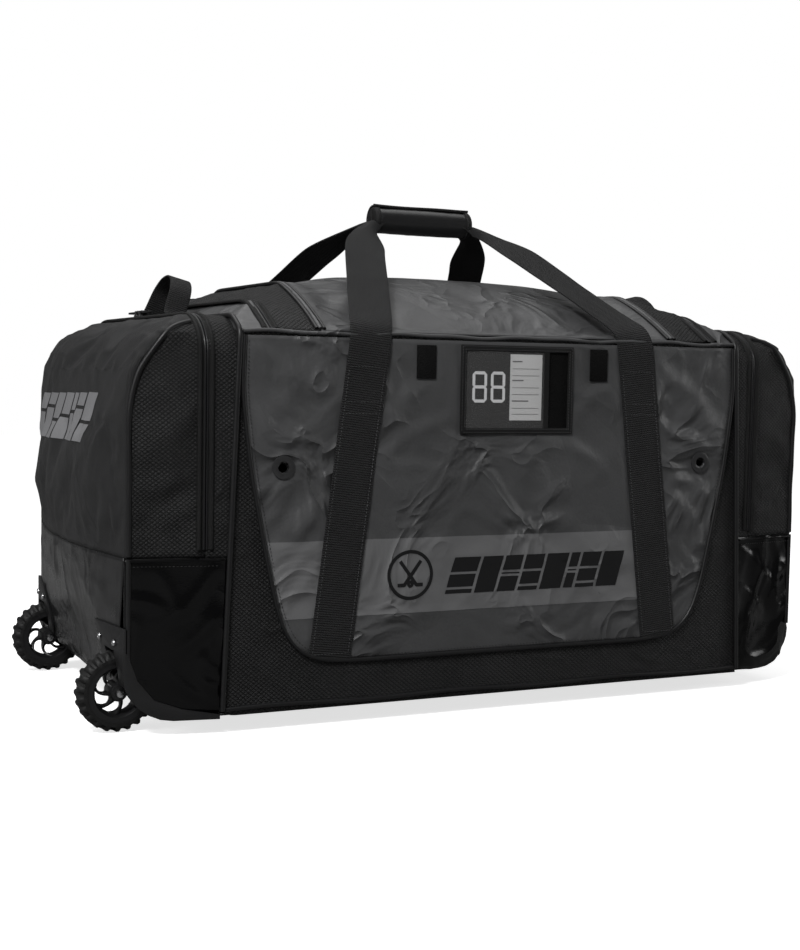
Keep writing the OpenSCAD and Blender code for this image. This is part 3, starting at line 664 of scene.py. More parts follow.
LAYOUTS = {
    "front": lambda p: (p[0], p[2]),
    "top": lambda p: (p[0], p[1]),
    "end": lambda p: (p[1], p[2]),
    "wrap": lambda p: (p[0], unrolled(p[1], p[2])),
}


def write_layout(piece, flat):
    """Writes a flat layout, one place in metres for each vertex, as the piece's UV map."""
    while piece.data.uv_layers:
        piece.data.uv_layers.remove(piece.data.uv_layers[0])
    layer = piece.data.uv_layers.new(name="cloth")
    corner = np.zeros(len(piece.data.loops), int)
    piece.data.loops.foreach_get("vertex_index", corner)
    layer.data.foreach_set("uv", flat[corner].ravel())


def lay_flat(piece, layout):
    """Lays the piece flat by one of the layouts."""
    write_layout(piece, np.array([LAYOUTS[layout](p) for p in points_of(piece)]))


# %% Finishing a piece


def dress(piece, paint, body, stands_for=()):
    """Gives a finished piece its material, its body and the solids that it stands for."""
    if paint is not None:
        piece.data.materials.clear()
        piece.data.materials.append(paint)
    for face in piece.data.polygons:
        face.use_smooth = True
    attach(piece, body)
    if stands_for:
        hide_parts(*stands_for)
    return piece


# %% [markdown]
# ## Creases
# Coated cloth doesn't ripple like silk. It holds long straight creases that fan out from wherever it is
# pulled: a seam corner, an eyelet, the edge of a strap. A crease here is a line from one point to
# another with a width and a height. It is deepest near its start and fades along its length. Under the
# chosen creases lies a low, irregular swell, made from seeded noise, that fades out at the hems.

# %% Creases and swell


def press_creases(places, outward, creases, flat):
    """Moves places outward along chosen creases. A crease is (start, end, width, height) in the flat plan."""
    for start, end, width, height in creases:
        start, end = np.array(start), np.array(end)
        along = end - start
        length = np.linalg.norm(along)
        rel = flat - start
        t = rel @ along / length ** 2
        side = (rel @ np.array([-along[1], along[0]])) / length
        bow = 0.08 * length * np.sin(np.clip(t, 0, 1) * math.pi)
        fade = np.clip(t + 0.12, 0, 1) ** 0.4 * np.clip(1.1 - t, 0, 1)
        off = (side - bow) / width
        ridge = np.exp(-off ** 2) - 0.55 * np.exp(-((off - 1.6) / 1.3) ** 2)
        places += outward * (height * np.where((t > -0.12) & (t < 1.1), fade, 0) * ridge)[:, None]
    return places


def swell(places, outward, hems, height, size, seed, stretch=(1, 1, 1)):
    """Moves places outward by smooth seeded noise with folded ridges, fading to nothing at the hems."""
    shift = Vector((seed * 7.31, seed * 3.17, seed * 5.93))
    lift = np.zeros(len(places))
    for i, p in enumerate(places):
        at = Vector((p[0] * stretch[0], p[1] * stretch[1], p[2] * stretch[2])) / size + shift
        broad = noise.noise(at)
        ridged = 1 - abs(noise.noise(at * 1.9 + Vector((3, 1, 2))) * 2.2)
        lift[i] = 0.6 * broad + 0.4 * max(ridged, 0) ** 2
    return places + outward * (height * lift * np.clip(hems / 5, 0, 1))[:, None]


def thicken_and_dress(piece, node, paint, body, layout, thickness=0.002):
    """Lays a creased skin flat, gives it its thickness inwards and dresses it."""
    lay_flat(piece, layout)
    apply_modifier(piece, "SOLIDIFY", thickness=thickness, offset=-1)
    dress(piece, paint, body, [node])
    print(piece.name, len(piece.data.polygons), "faces")


def cloth_panel(node, name, paint, body, layout, step=0.02, levels=2, swell_height=0.003,
                swell_size=0.09, stretch=(1, 1, 1), seed=1, creases=(), thickness=0.002, soften=0,
                finish_it=True):
    """One panel: skin, net, rounding, creases, thickness."""
    piece = copy_of(node, name)
    keep_outer_skin(piece)
    span = points_of(piece).max(0) - points_of(piece).min(0)
    rule_net(piece, [step if width > 2 * step else 0 for width in span])
    mark_hems(piece)
    apply_modifier(piece, "SUBSURF", levels=levels, render_levels=levels)
    hems = hem_distance(piece)
    if soften:
        soften_inside(piece, hems, soften)
    places, outward = points_of(piece), normals_of(piece)
    places = swell(places, outward, hems, swell_height, swell_size, seed, stretch)
    if creases:
        plan = np.array([LAYOUTS[layout](p) for p in places])
        places = press_creases(places, outward * np.clip(hems / 3, 0.1, 1)[:, None], creases, plan)
    move_points(piece, places)
    if finish_it:
        thicken_and_dress(piece, node, paint, body, layout, thickness)
    return piece


# %% [markdown]
# ## The front
# The front wall is black ripstop. Over it lies a grey tarpaulin shape, full width above and waisted in
# below. Its creases fan down from the top seam and in from the two eyelets, so they are chosen one by
# one; the ripstop below is taut and only swells a little.

# %% Front and back walls
cloth_panel("front_panel", "front_wall", ripstop, "root", "front", swell_height=0.0015, seed=2,
            swell_size=0.12)
rear = cloth_panel("back_panel", "back_wall", ripstop, "root", "front", swell_height=0.0035,
                   seed=3, swell_size=0.13, finish_it=False)

# %% [markdown]
# Where a strap, the window, a patch of hook tape or an eyelet is sewn on, the cloth can't stand away
# from the wall. Each such place is a zone, and outside it the cloth may rise a little more with every
# millimetre. Simulating the seams would do the same, but a limit by distance is quick and never slips.

# %% Places where something sewn on holds the cloth down
STRAP_FOOT_X, STRAP_FOOT_Z, STRAP_LEAN, STRAP_HALF = 0.2200, 0.076, 0.1231, 0.0255


def hold_down(piece, zones, face=-1, give=0.22):
    """Keeps a front or back skin from swelling inside zones. A zone gives the distance from itself."""
    places = points_of(piece)
    limit = abs(front_y) + 0.0020
    for zone in zones:
        away = np.maximum(zone(places[:, 0], places[:, 2]), 0)
        places[:, 1] = face * np.minimum(face * places[:, 1], limit + give * away)
    if face < 0:
        places[:, 1] = np.minimum(places[:, 1], front_y - 0.0014)
    move_points(piece, places)


def box_zone(x0, x1, z0, z1):
    """A rectangle."""
    return lambda x, z: np.hypot(np.maximum(np.maximum(x0 - x, x - x1), 0),
                                 np.maximum(np.maximum(z0 - z, z - z1), 0))


def strap_zone(side):
    """The sewn part of a strap."""
    return lambda x, z: np.abs(x - (mid_x + side
                                    * (STRAP_FOOT_X - STRAP_LEAN * (z - STRAP_FOOT_Z)))) - STRAP_HALF


hold_down(rear, [strap_zone(-1), strap_zone(1)], face=1)
thicken_and_dress(rear, "back_panel", ripstop, "root", "front")

# %% The tarpaulin shape with its chosen creases


def from_middle(gain, folds):
    """Creases with both ends measured from the bag's middle along X; gain raises or lowers them all."""
    return [((mid_x + a, b), (mid_x + c, d), width, height * gain) for a, b, c, d, width, height in folds]


top = seam_z - 0.006
fan = [((mid_x + x, top), (mid_x + x + lean, top - drop), 0.0045, 0.0022)
       for x, lean, drop in ((-0.122, 0.004, 0.03), (-0.108, -0.003, 0.026), (-0.09, 0.002, 0.03),
                             (-0.075, 0, 0.022), (0.094, 0, 0.03), (0.108, 0.004, 0.024),
                             (0.128, -0.002, 0.03), (0.145, 0.004, 0.02), (-0.22, -0.006, 0.04),
                             (0.24, 0.006, 0.04), (-0.305, 0.004, 0.05))]
long_folds = from_middle(1.3, [
    (-0.318, 0.425, -0.262, 0.372, 0.012, 0.0045), (-0.225, 0.425, -0.312, 0.335, 0.015, 0.0040),
    (-0.205, 0.400, -0.300, 0.255, 0.016, 0.0038), (-0.270, 0.285, -0.310, 0.215, 0.008, 0.0030),
    (-0.212, 0.300, -0.290, 0.185, 0.012, 0.0042), (-0.218, 0.255, -0.285, 0.160, 0.009, 0.0036),
    (-0.222, 0.215, -0.280, 0.135, 0.008, 0.0030), (-0.150, 0.345, -0.085, 0.400, 0.011, 0.0038),
    (-0.155, 0.300, -0.075, 0.345, 0.007, 0.0030), (-0.150, 0.290, -0.060, 0.272, 0.007, 0.0024),
    (-0.070, 0.325, -0.040, 0.300, 0.006, 0.0026), (0.060, 0.320, 0.150, 0.265, 0.008, 0.0026),
    (0.090, 0.345, 0.160, 0.395, 0.010, 0.0034), (0.020, 0.315, 0.060, 0.250, 0.007, 0.0020),
    (0.215, 0.400, 0.300, 0.330, 0.012, 0.0040), (0.225, 0.330, 0.295, 0.300, 0.007, 0.0034),
    (0.220, 0.275, 0.300, 0.240, 0.009, 0.0034), (0.235, 0.250, 0.285, 0.185, 0.010, 0.0036),
    (0.245, 0.190, 0.285, 0.130, 0.009, 0.0032), (-0.150, 0.118, 0.010, 0.100, 0.006, 0.0014),
    (0.120, 0.116, 0.020, 0.085, 0.006, 0.0014),
])
tarp = cloth_panel("front_tarp_panel", "front_tarpaulin", tarpaulin, "root", "front", step=0.018,
                   swell_height=0.0036, swell_size=0.10, seed=4, creases=fan + long_folds, finish_it=False)
window_low, window_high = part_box("id_window_frame")
zones = [strap_zone(-1), strap_zone(1), box_zone(window_low.x, window_high.x, window_low.z, window_high.z)]
zones += [box_zone(mid_x + x - 0.013, mid_x + x + 0.013, 0.388, 0.428) for x in (-0.106, 0.124)]
zones += [box_zone(mid_x + x - 0.013, mid_x + x + 0.013, 0.277, 0.303) for x in (-0.277, 0.277)]
hold_down(tarp, zones)
thicken_and_dress(tarp, "front_tarp_panel", tarpaulin, "root", "front", 0.0016)

# %% [markdown]
# ## The end pockets
# Each end pocket is a door: a ripstop gusset and a plain polyester end that hang on the kick panels when
# the zip is open. The polyester end is one big soft face, so it bulges between its seams and creases
# at the corners. The best way to get that is to simulate it: the net is pinned along its hems, given
# two per cent more cloth than it needs, and blown up a little from inside.

# %% A simulation of a pinned skin under a light pressure


def billow(piece, pressure, spare, steps, cap, sag=0.0, held=lambda p: False):
    """Simulates a pinned skin under a light pressure, caps how far a point moves and applies the result."""
    hems = hem_distance(piece)
    before = points_of(piece)
    group = piece.vertex_groups.new(name="pins")
    for i, far in enumerate(hems):
        if far < 1.5 or held(before[i]):
            group.add([i], 1.0, "REPLACE")
    only(piece)
    bpy.ops.object.modifier_add(type="CLOTH")
    cloth = piece.modifiers[-1]
    cloth.settings.quality = 6
    cloth.settings.mass = 0.25
    cloth.settings.tension_stiffness = 30
    cloth.settings.compression_stiffness = 30
    cloth.settings.shear_stiffness = 12
    cloth.settings.bending_stiffness = 0.6
    cloth.settings.air_damping = 3
    cloth.settings.vertex_group_mass = "pins"
    cloth.settings.shrink_min = -spare
    cloth.settings.use_pressure = True
    cloth.settings.uniform_pressure_force = pressure
    cloth.settings.effector_weights.gravity = sag
    cloth.collision_settings.use_self_collision = False
    for step in range(1, steps + 1):
        scene.frame_set(step)
    bpy.ops.object.modifier_apply(modifier=cloth.name)
    scene.frame_set(1)
    piece.vertex_groups.clear()
    moved = points_of(piece) - before
    far = np.linalg.norm(moved, axis=1)
    move_points(piece, before + moved * (np.minimum(far, cap) / np.maximum(far, 1e-9))[:, None])
    print(piece.name, "billowed by at most", round(float(far.max()) * 1000, 1), "mm")


# %% [markdown]
# The seam between the end and the gusset runs up each corner and then sweeps back over the shoulder
# to the zip, so the end reaches round the corner and the gusset ends in a point. Modelled as two solids
# the cloths would meet badly. So one skin covers the whole door, and it is cut apart along an arc that
# is drawn on the cloth laid flat: its depth from the corner, and its height over the wall's straight part.

# %% The piping line: where the polyester end meets the ripstop gusset
corner_x = end_x + 0.002
ARC_LOW, ARC_RISE, ARC_REACH = -0.065, 0.128, 0.083


def arc_height(inset):
    """How high up the wrapped profile the gusset reaches, for a distance in from the corner."""
    turn = math.acos(min(1, max(-1, 1 - inset / ARC_REACH)))
    return ARC_LOW + ARC_RISE * math.sin(turn)


def on_gusset(p):
    """True for a place on the front or back gusset of either pocket."""
    inset = corner_x - abs(p[0] - mid_x)
    return inset > 0 and unrolled(p[1], p[2]) < arc_height(inset)


def line_gap(p):
    """Rough distance of a place from the piping line."""
    inset = corner_x - abs(p[0] - mid_x)
    up = unrolled(p[1], p[2])
    if up < ARC_LOW:
        return math.hypot(inset, pocket_y - abs(p[1]))
    turn = math.asin(min(1, (up - ARC_LOW) / ARC_RISE))
    return abs(inset - ARC_REACH * (1 - math.cos(turn)))


print("the gusset is", round(arc_height(0.04) * 1000), "mm above the wall's straight part, 40 mm in")

# %% Doors: one skin for each, cut apart along the piping line
end_creases = {
    -1: [((-0.05, 0.43), (-0.13, 0.33), 0.012, 0.0035), ((0.02, 0.44), (0.05, 0.35), 0.014, 0.003),
         ((0.16, 0.43), (0.10, 0.34), 0.012, 0.0035), ((-0.19, 0.23), (-0.06, 0.215), 0.010, 0.002),
         ((0.20, 0.25), (0.08, 0.28), 0.013, 0.0035), ((-0.205, 0.40), (-0.13, 0.26), 0.012, 0.0030)],
    1: [((0.05, 0.43), (0.13, 0.33), 0.012, 0.0035), ((-0.16, 0.43), (-0.10, 0.34), 0.012, 0.0035),
        ((0.19, 0.23), (0.06, 0.215), 0.010, 0.003), ((-0.20, 0.25), (-0.08, 0.28), 0.013, 0.0035)],
}
gusset_creases = from_middle(1.0, [
    (-0.372, 0.350, -0.440, 0.305, 0.011, 0.0036), (-0.370, 0.290, -0.440, 0.262, 0.011, 0.0040),
    (-0.372, 0.252, -0.430, 0.222, 0.009, 0.0034), (-0.440, 0.215, -0.385, 0.203, 0.008, 0.0030),
    (0.372, 0.330, 0.440, 0.300, 0.010, 0.0034), (0.372, 0.270, 0.440, 0.240, 0.010, 0.0034),
    (0.372, 0.225, 0.430, 0.205, 0.009, 0.0030),
])
end_skins, door_probes = {}, {}
for side, word in SIDES:
    door = word + "_door"
    parts = []
    for node in (word + "_end_panel", word + "_pocket_gusset"):
        parts.append(copy_of(node, node + "_part"))
        keep_outer_skin(parts[-1])
    skin = join_pieces(parts, word + "_gusset")
    edit_all(skin)
    bpy.ops.mesh.remove_doubles(threshold=0.0006)
    close_edit()
    rule_net(skin, [0.018, 0.020, 0.020])
    mark_hems(skin)
    apply_modifier(skin, "SUBSURF", levels=1, render_levels=1)
    hems = hem_distance(skin)
    soften_inside(skin, hems, 3)
    move_points(skin, swell(points_of(skin), normals_of(skin), hems, 0.0024, 0.07, 6 + side))
    billow(skin, pressure=0.8, spare=0.02, steps=22, cap=0.008, held=lambda p: line_gap(p) < 0.010)
    apply_modifier(skin, "SUBSURF", levels=1, render_levels=1)
    hems, places = hem_distance(skin), points_of(skin)
    free = np.clip(hems / 4, 0, 1) * np.clip(np.array([line_gap(p) for p in places]) / 0.012, 0, 1)
    on_front_part = np.array([on_gusset(p) for p in places])
    outward = normals_of(skin)
    places = press_creases(places, outward * (free * ~on_front_part)[:, None], end_creases[side],
                           np.array([LAYOUTS["end"](p) for p in places]))
    places = press_creases(places, outward * (free * on_front_part)[:, None], gusset_creases,
                           np.array([LAYOUTS["front"](p) for p in places]))
    move_points(skin, places)
    door_probes[side] = skin_probe(skin)
    select_faces(skin, lambda face: not on_gusset(face.center))
    bpy.ops.mesh.separate(type="SELECTED")
    close_edit()
    end = [o for o in bpy.context.selected_objects if o != skin][0]
    end.name = end.data.name = word + "_end"
    thicken_and_dress(end, word + "_end_panel", polyester, door, "end")
    thicken_and_dress(skin, word + "_pocket_gusset", ripstop, door, "wrap")
    end_skins[side] = end

# %% [markdown]
# ## Collars, kick panels and end bases
# The collar is the ripstop band between the corner piping and the pocket zip. Below the zip the corners
# are glossy vinyl, cut full so that it puckers above the bottom seam, and between them the end is a
# smooth tarpaulin that shines on its creases, darker in colour than the tarpaulin above as painted shade
# low on the ends. All are panels of the kind made above, and their puckers are pressed in one by one,
# because a simulation would pucker the hems as well.

# %% Fixed cloth of the pockets
cloth_panel("pocket_collars", "pocket_collar_bands", ripstop, "root", "wrap", step=0.014,
            swell_height=0.0014, swell_size=0.05, seed=12, soften=3)
kick_folds = []
for side in (-1, 1):
    for near, far, low, high in ((0.354, 0.412, 0.176, 0.120), (0.352, 0.395, 0.128, 0.090),
                                 (0.350, 0.372, 0.046, 0.082), (0.362, 0.405, 0.040, 0.078),
                                 (0.440, 0.400, 0.150, 0.135), (0.350, 0.366, 0.068, 0.092)):
        kick_folds.append(((mid_x + side * near, low), (mid_x + side * far, high), 0.006, 0.0030))
cloth_panel("kick_panels", "kick_panel_vinyl", vinyl, "root", "front", step=0.016,
            swell_height=0.0030, swell_size=0.075, stretch=(1, 1, 0.7), seed=15, creases=kick_folds, soften=3)
skirt_folds = [((y, 0.186), (y + 0.02, 0.150), 0.007, 0.0022) for y in (-0.14, -0.06, 0.03, 0.11, 0.18)]
# The end skirts take the darker tarpaulin copy, whose colour is painted shade.
for side, word in SIDES:
    cloth_panel(word + "_end_base", word + "_end_skirt", skirt_tarpaulin_painted_shade, "root", "end", step=0.018,
                swell_height=0.0020, swell_size=0.07, stretch=(1, 0.6, 1.3), seed=18 + side, soften=4,
                creases=skirt_folds)

# %% [markdown]
# ## The top
# The lid is a broad tarpaulin dome between two ripstop gussets. It sags between the zip and the front
# seam and throws folds from the corners, so it is simulated in the same way, with its own weight this
# time. A low arch then lifts its middle, as a full bag does, and the folds are pressed in on top. The
# strips outside the zip stay with the bag when the lid opens.

# %% Lid and rims
lid = cloth_panel("lid_dome", "lid_tarpaulin", tarpaulin, "lid", "top", step=0.02, levels=1,
                  swell_height=0.002, swell_size=0.16, seed=21, soften=10, finish_it=False)
billow(lid, pressure=0.5, spare=0.02, steps=22, cap=0.010, sag=1.0)
apply_modifier(lid, "SUBSURF", levels=1, render_levels=1)
lid_folds = from_middle(0.55, [
    (-0.215, -0.215, -0.120, -0.120, 0.011, 0.0045), (-0.222, -0.175, -0.100, -0.060, 0.014, 0.0050),
    (-0.226, -0.120, -0.110, -0.020, 0.013, 0.0045), (-0.226, -0.060, -0.120, 0.010, 0.014, 0.0040),
    (-0.190, -0.228, -0.130, -0.170, 0.009, 0.0035), (-0.130, -0.225, -0.060, -0.150, 0.012, 0.0035),
    (-0.010, -0.225, 0.060, -0.140, 0.014, 0.0035), (0.110, -0.225, 0.050, -0.130, 0.013, 0.0035),
    (0.215, -0.210, 0.110, -0.110, 0.013, 0.0048), (0.222, -0.140, 0.120, -0.050, 0.014, 0.0045),
    (0.222, -0.060, 0.100, 0.030, 0.014, 0.0040), (0.200, 0.120, 0.090, 0.060, 0.014, 0.0040),
    (-0.200, 0.120, -0.090, 0.060, 0.014, 0.0040),
])
ARCH_LIFT, ARCH_Y = 0.014, -0.035
places = points_of(lid)
arch = np.clip(1 - ((places[:, 0] - mid_x) / welt_x) ** 2, 0, 1)
arch = arch * np.clip(1 - ((places[:, 1] - ARCH_Y) / (lid_back - ARCH_Y)) ** 2, 0, 1)
move_points(lid, places + np.outer(arch ** 0.7, [0, 0, ARCH_LIFT]))
free = np.clip(hem_distance(lid) / 4, 0, 1)[:, None]
plan = np.array([LAYOUTS["top"](p) for p in points_of(lid)])
move_points(lid, press_creases(points_of(lid), normals_of(lid) * free, lid_folds, plan))
thicken_and_dress(lid, "lid_dome", tarpaulin, "lid", "top")

# %% The lid's gussets and the strips round the zip
for side, word in SIDES:
    cloth_panel(word + "_lid_gusset", word + "_lid_ripstop", ripstop, "lid", "top", step=0.016,
                swell_height=0.003, swell_size=0.06, seed=24 + side, soften=4)
cloth_panel("side_rims", "side_rim_strips", tarpaulin, "root", "top", step=0.014,
            swell_height=0.0016, swell_size=0.05, seed=27, soften=3)
cloth_panel("back_rim", "back_rim_strip", tarpaulin, "root", "top", step=0.02,
            swell_height=0.002, swell_size=0.07, seed=28, soften=3)

# %% [markdown]
# The floor is one sheet of coated cloth, stretched over the stiff board by its own seams. It is nearly
# flat, so it needs no folds and only a faint swell.

# %% The floor cloth
cloth_panel("floor_panel", "floor_cloth", lining, "root", "top", step=0.03,
            swell_height=0.0008, seed=30)

# %% [markdown]
# ## Bands, tubes and stitches
# Zips, webbing and piping all follow a line over the bag. Each is built from rows of points: a grid
# primitive with one row for each small step along the line is put in place row by row. A tube is a
# curve with a round bevel. Stitches are one small capsule, repeated along a line. To find lines that
# lie exactly on the bag, a probe is lowered onto the solids and reports where it touches.

# %% Probing, resampling and smoothing lines


def touch(names, core, direction):
    """The point where a probe coming in along a direction, towards a core point, meets the named solids."""
    core, direction = Vector(core), Vector(direction).normalized()
    best = None
    for name in names:
        if name not in probed:
            probed[name] = skin_probe(nodes[name])
        place = probed[name].ray_cast(core + direction * PROBE_START, -direction)[0]
        if place and (best is None or (place - core).length > (best - core).length):
            best = place
    return best


probed = {}
PROBE_START = 0.6


def even_line(points, spacing):
    """The same line with evenly spaced points."""
    points = np.array([tuple(p) for p in points], float)
    run = np.concatenate([[0], np.cumsum(np.linalg.norm(np.diff(points, axis=0), axis=1))])
    at = np.linspace(0, run[-1], max(2, round(run[-1] / spacing) + 1))
    return np.stack([np.interp(at, run, points[:, k]) for k in range(3)], axis=1)


def relax(line, rounds):
    """Softens the corners of a line in place and keeps its ends."""
    for _ in range(rounds):
        line[1:-1] = 0.5 * line[1:-1] + 0.25 * (line[:-2] + line[2:])
    return line


def rounded_line(points, spacing, rounds=6):
    """An even line whose corners have been softened."""
    return relax(even_line(points, spacing), rounds)


def unit(rows):
    """Each row scaled to length one."""
    return rows / np.maximum(np.linalg.norm(rows, axis=1, keepdims=True), 1e-9)


def away_from_heart(line):
    """Directions out of the bag at each point of a line that runs round its side profile."""
    out = np.stack([np.zeros(len(line)), line[:, 1], line[:, 2] - 0.25], axis=1)
    corner_y, corner_z = abs(front_y) - WRAP_R, pocket_top - WRAP_R
    for i, p in enumerate(line):
        if p[2] < corner_z:
            out[i] = (0, math.copysign(1, p[1]), 0)
        elif abs(p[1]) < corner_y:
            out[i] = (0, 0, 1)
        else:
            out[i] = (0, p[1] - math.copysign(corner_y, p[1]), p[2] - corner_z)
    return unit(out)


# %% Grids placed row by row


def placed_grid(name, rows):
    """A grid primitive with its points put at rows[i][j], and laid flat across and along."""
    rows = np.asarray(rows, float)
    count, width = rows.shape[:2]
    bpy.ops.object.select_all(action="DESELECT")
    bpy.ops.mesh.primitive_grid_add(x_subdivisions=width - 1, y_subdivisions=count - 1, size=1)
    piece = bpy.context.object
    piece.name = piece.data.name = name
    move_points(piece, rows.reshape(-1, 3))
    middle = rows[:, width // 2]
    along = np.concatenate([[0], np.cumsum(np.linalg.norm(np.diff(middle, axis=0), axis=1))])
    across = np.cumsum(np.linalg.norm(np.diff(rows, axis=1, prepend=rows[:, :1]), axis=2), axis=1)
    write_layout(piece, np.stack([across, np.repeat(along[:, None], width, 1)], axis=2).reshape(-1, 2))
    return piece


def face_outwards(piece, out):
    """Flips the piece if its first faces look against a direction."""
    seen = sum(face.normal.dot(Vector(out)) for face in list(piece.data.polygons)[:40])
    if seen < 0:
        edit_all(piece)
        bpy.ops.mesh.flip_normals()
        close_edit()


def tube(name, line, radius, paint, body, sides=4, stands_for=()):
    """A round piping along a line, capped at both ends."""
    curve = bpy.data.curves.new(name, "CURVE")
    curve.dimensions = "3D"
    curve.bevel_depth = radius
    curve.bevel_resolution = sides
    curve.use_fill_caps = True
    spline = curve.splines.new("POLY")
    spline.points.add(len(line) - 1)
    spline.points.foreach_set("co", np.concatenate([line, np.ones((len(line), 1))], axis=1).ravel())
    piece = bpy.data.objects.new(name, curve)
    scene.collection.objects.link(piece)
    only(piece)
    bpy.ops.object.convert(target="MESH")
    piece = bpy.context.object
    return dress(piece, paint, body, stands_for)


# %% Stitches


def resampled(rows, count):
    """Rows of three numbers stretched or shrunk to another count."""
    old, new = np.linspace(0, 1, len(rows)), np.linspace(0, 1, count)
    return np.stack([np.interp(new, old, rows[:, k]) for k in range(3)], axis=1)


def stitch_rows(name, lines, outs, paint, body, pitch=0.0036, length=0.0026, radius=0.00042):
    """Rows of separate thread stitches along lines, each lying just proud of the cloth."""
    bpy.ops.object.select_all(action="DESELECT")
    bpy.ops.mesh.primitive_uv_sphere_add(segments=6, ring_count=4, radius=1)
    seed = bpy.context.object
    shape = points_of(seed)
    faces = [tuple(face.vertices) for face in seed.data.polygons]
    bpy.data.objects.remove(seed)
    places, polygons = [], []
    for line, out in zip(lines, outs):
        line = even_line(line, pitch)
        outward = np.broadcast_to(np.asarray(out, float), line.shape) if np.ndim(out) == 1 \
            else resampled(out, len(line))
        run = unit(np.gradient(line, axis=0))
        side = unit(np.cross(run, outward))
        up = np.cross(side, run)
        for p, a, b, c in zip(line[1:-1], run[1:-1], side[1:-1], up[1:-1]):
            base = len(places) * len(shape)
            places.append(p + shape[:, :1] * a * length / 2 + shape[:, 1:2] * b * radius + shape[:, 2:] * c
                          * radius)
            polygons += [tuple(i + base for i in face) for face in faces]
    mesh = bpy.data.meshes.new(name)
    mesh.from_pydata(np.concatenate(places).tolist(), [], polygons)
    piece = bpy.data.objects.new(name, mesh)
    scene.collection.objects.link(piece)
    dress(piece, paint, body)
    edit_all(piece)
    bpy.ops.mesh.normals_make_consistent(inside=False)
    close_edit()
    print(name, len(places), "stitches")
    return piece


# %% [markdown]
# ## Zips
# A zip is two mirrored halves: nylon coil teeth at the middle, a strip of tape, and a rolled edge where
# the cloth is folded over it. One half stays with the bag and the other goes with the lid or the door,
# so every zip is made as two bands. The teeth are real steps in the band, one for every row.

# %% One half of a zip
TOOTH = 0.0021
# each point: its distance from the zip's middle, its height, and 1 where the teeth raise it
HALF_ZIP = [(0.0004, 0.0002, 0), (0.0005, 0.0016, 1), (0.0017, 0.0018, 1), (0.0022, 0.0008, 0),
            (0.0044, 0.0006, 0), (0.0048, 0.0016, 0), (0.0058, 0.0027, 0), (0.0074, 0.0029, 0),
            (0.0090, 0.0022, 0), (0.0098, -0.0006, 0)]


def zip_half(name, line, up, sideways, body, stands_for=()):
    """A toothed band along a line: sideways points from the middle of the zip to this half's rolled edge."""
    fine = even_line(line, TOOTH / 2)
    up, sideways = unit(resampled(up, len(fine))), unit(resampled(sideways, len(fine)))
    tooth = np.where(np.arange(len(fine)) % 2, 1.0, 0.45)
    rows = [[p + s * across + u * height * (k if toothed else 1) for across, height, toothed in HALF_ZIP]
            for p, u, s, k in zip(fine, up, sideways, tooth)]
    piece = placed_grid(name, rows)
    face_outwards(piece, up[:4].mean(0))
    piece.data.materials.append(tape)
    piece.data.materials.append(coil)
    width = len(HALF_ZIP) - 1
    for i, face in enumerate(piece.data.polygons):
        face.material_index = 1 if i % width < 3 else 0
    apply_modifier(piece, "SOLIDIFY", thickness=0.0004, offset=-1)
    return dress(piece, None, body, stands_for)


# %% Pocket zips: the solids' profile at the zip, from kick panel to kick panel over the top
for side, word in SIDES:
    x = mid_x + side * (zip_x - 0.002)
    turn = np.radians(np.linspace(-13.5, 193.5, 120))
    line = [touch(["pocket_collars"], (x, 0, 0.25), (0, -math.cos(a), math.sin(a))) for a in turn]
    line = rounded_line([p for p in line if p and p.z > kick_z + 0.001], 0.004, 4)
    line[:, 0] = mid_x + side * zip_x
    up = away_from_heart(line)
    sideways = np.tile([float(side), 0, 0], (len(line), 1))
    zip_half(word + "_zip_inner_half", line, up, -sideways, "root", ["pocket_zip_tapes"] if side < 0 else ())
    zip_half(word + "_zip_outer_half", line, up, sideways, word + "_door")

# %% [markdown]
# The lid's zip runs back along both sides and across the back, round two wide corners. The line is
# drawn in plan, straight pieces and two arcs, and each of its points is then dropped onto the rims.
# A curve object could do it too, but it would not follow the rims.

# %% Lid zip: a plan line round the lid, dropped onto the rims
corner = 0.080
plan_line = [(-lid_zip_x, y) for y in np.linspace(front_y + 0.003, lid_back - corner, 40)]
plan_line += [(-lid_zip_x + corner - corner * math.cos(a), lid_back - corner + corner * math.sin(a))
              for a in np.linspace(0, math.pi / 2, 14)[1:]]
plan_line += [(x, lid_back) for x in np.linspace(-lid_zip_x + corner, lid_zip_x - corner, 50)[1:]]
plan_line += [(-x, y) for x, y in reversed(plan_line[:54])][1:]
plan_line = np.array(plan_line)
run = np.gradient(plan_line, axis=0)
run /= np.linalg.norm(run, axis=1, keepdims=True)
outside = np.stack([-run[:, 1], run[:, 0]], axis=1)
line = []
for p, o in zip(plan_line, outside):
    down = touch(["side_rims", "back_rim"], (mid_x + p[0] + o[0] * 0.002, p[1] + o[1] * 0.002, 0.3),
                 (0, 0, 1))
    line.append((mid_x + p[0], p[1], down.z if down else seam_z))
line = np.array(line)
relax(line[:, 2], 6)
side3 = np.concatenate([outside, np.zeros((len(outside), 1))], axis=1)
up = unit(np.cross(unit(np.gradient(line, axis=0)), -side3))
up *= np.sign(up[:, 2:])
zip_half("lid_zip_rim_half", line, up, side3, "root", ["rim_zip_tape"])
zip_half("lid_zip_lid_half", line, up, -side3, "lid", ["lid_zip_edging"])

# %% [markdown]
# ## Welts and piping
# Along the inner edge of each lid gusset runs a double welt: two dark rolls with a strip of the
# tarpaulin folded between them. Vinyl piping follows the corner seams, the edge of the front
# tarpaulin and the shoulder of each pocket, and a thin roll of tarpaulin closes the front seam.

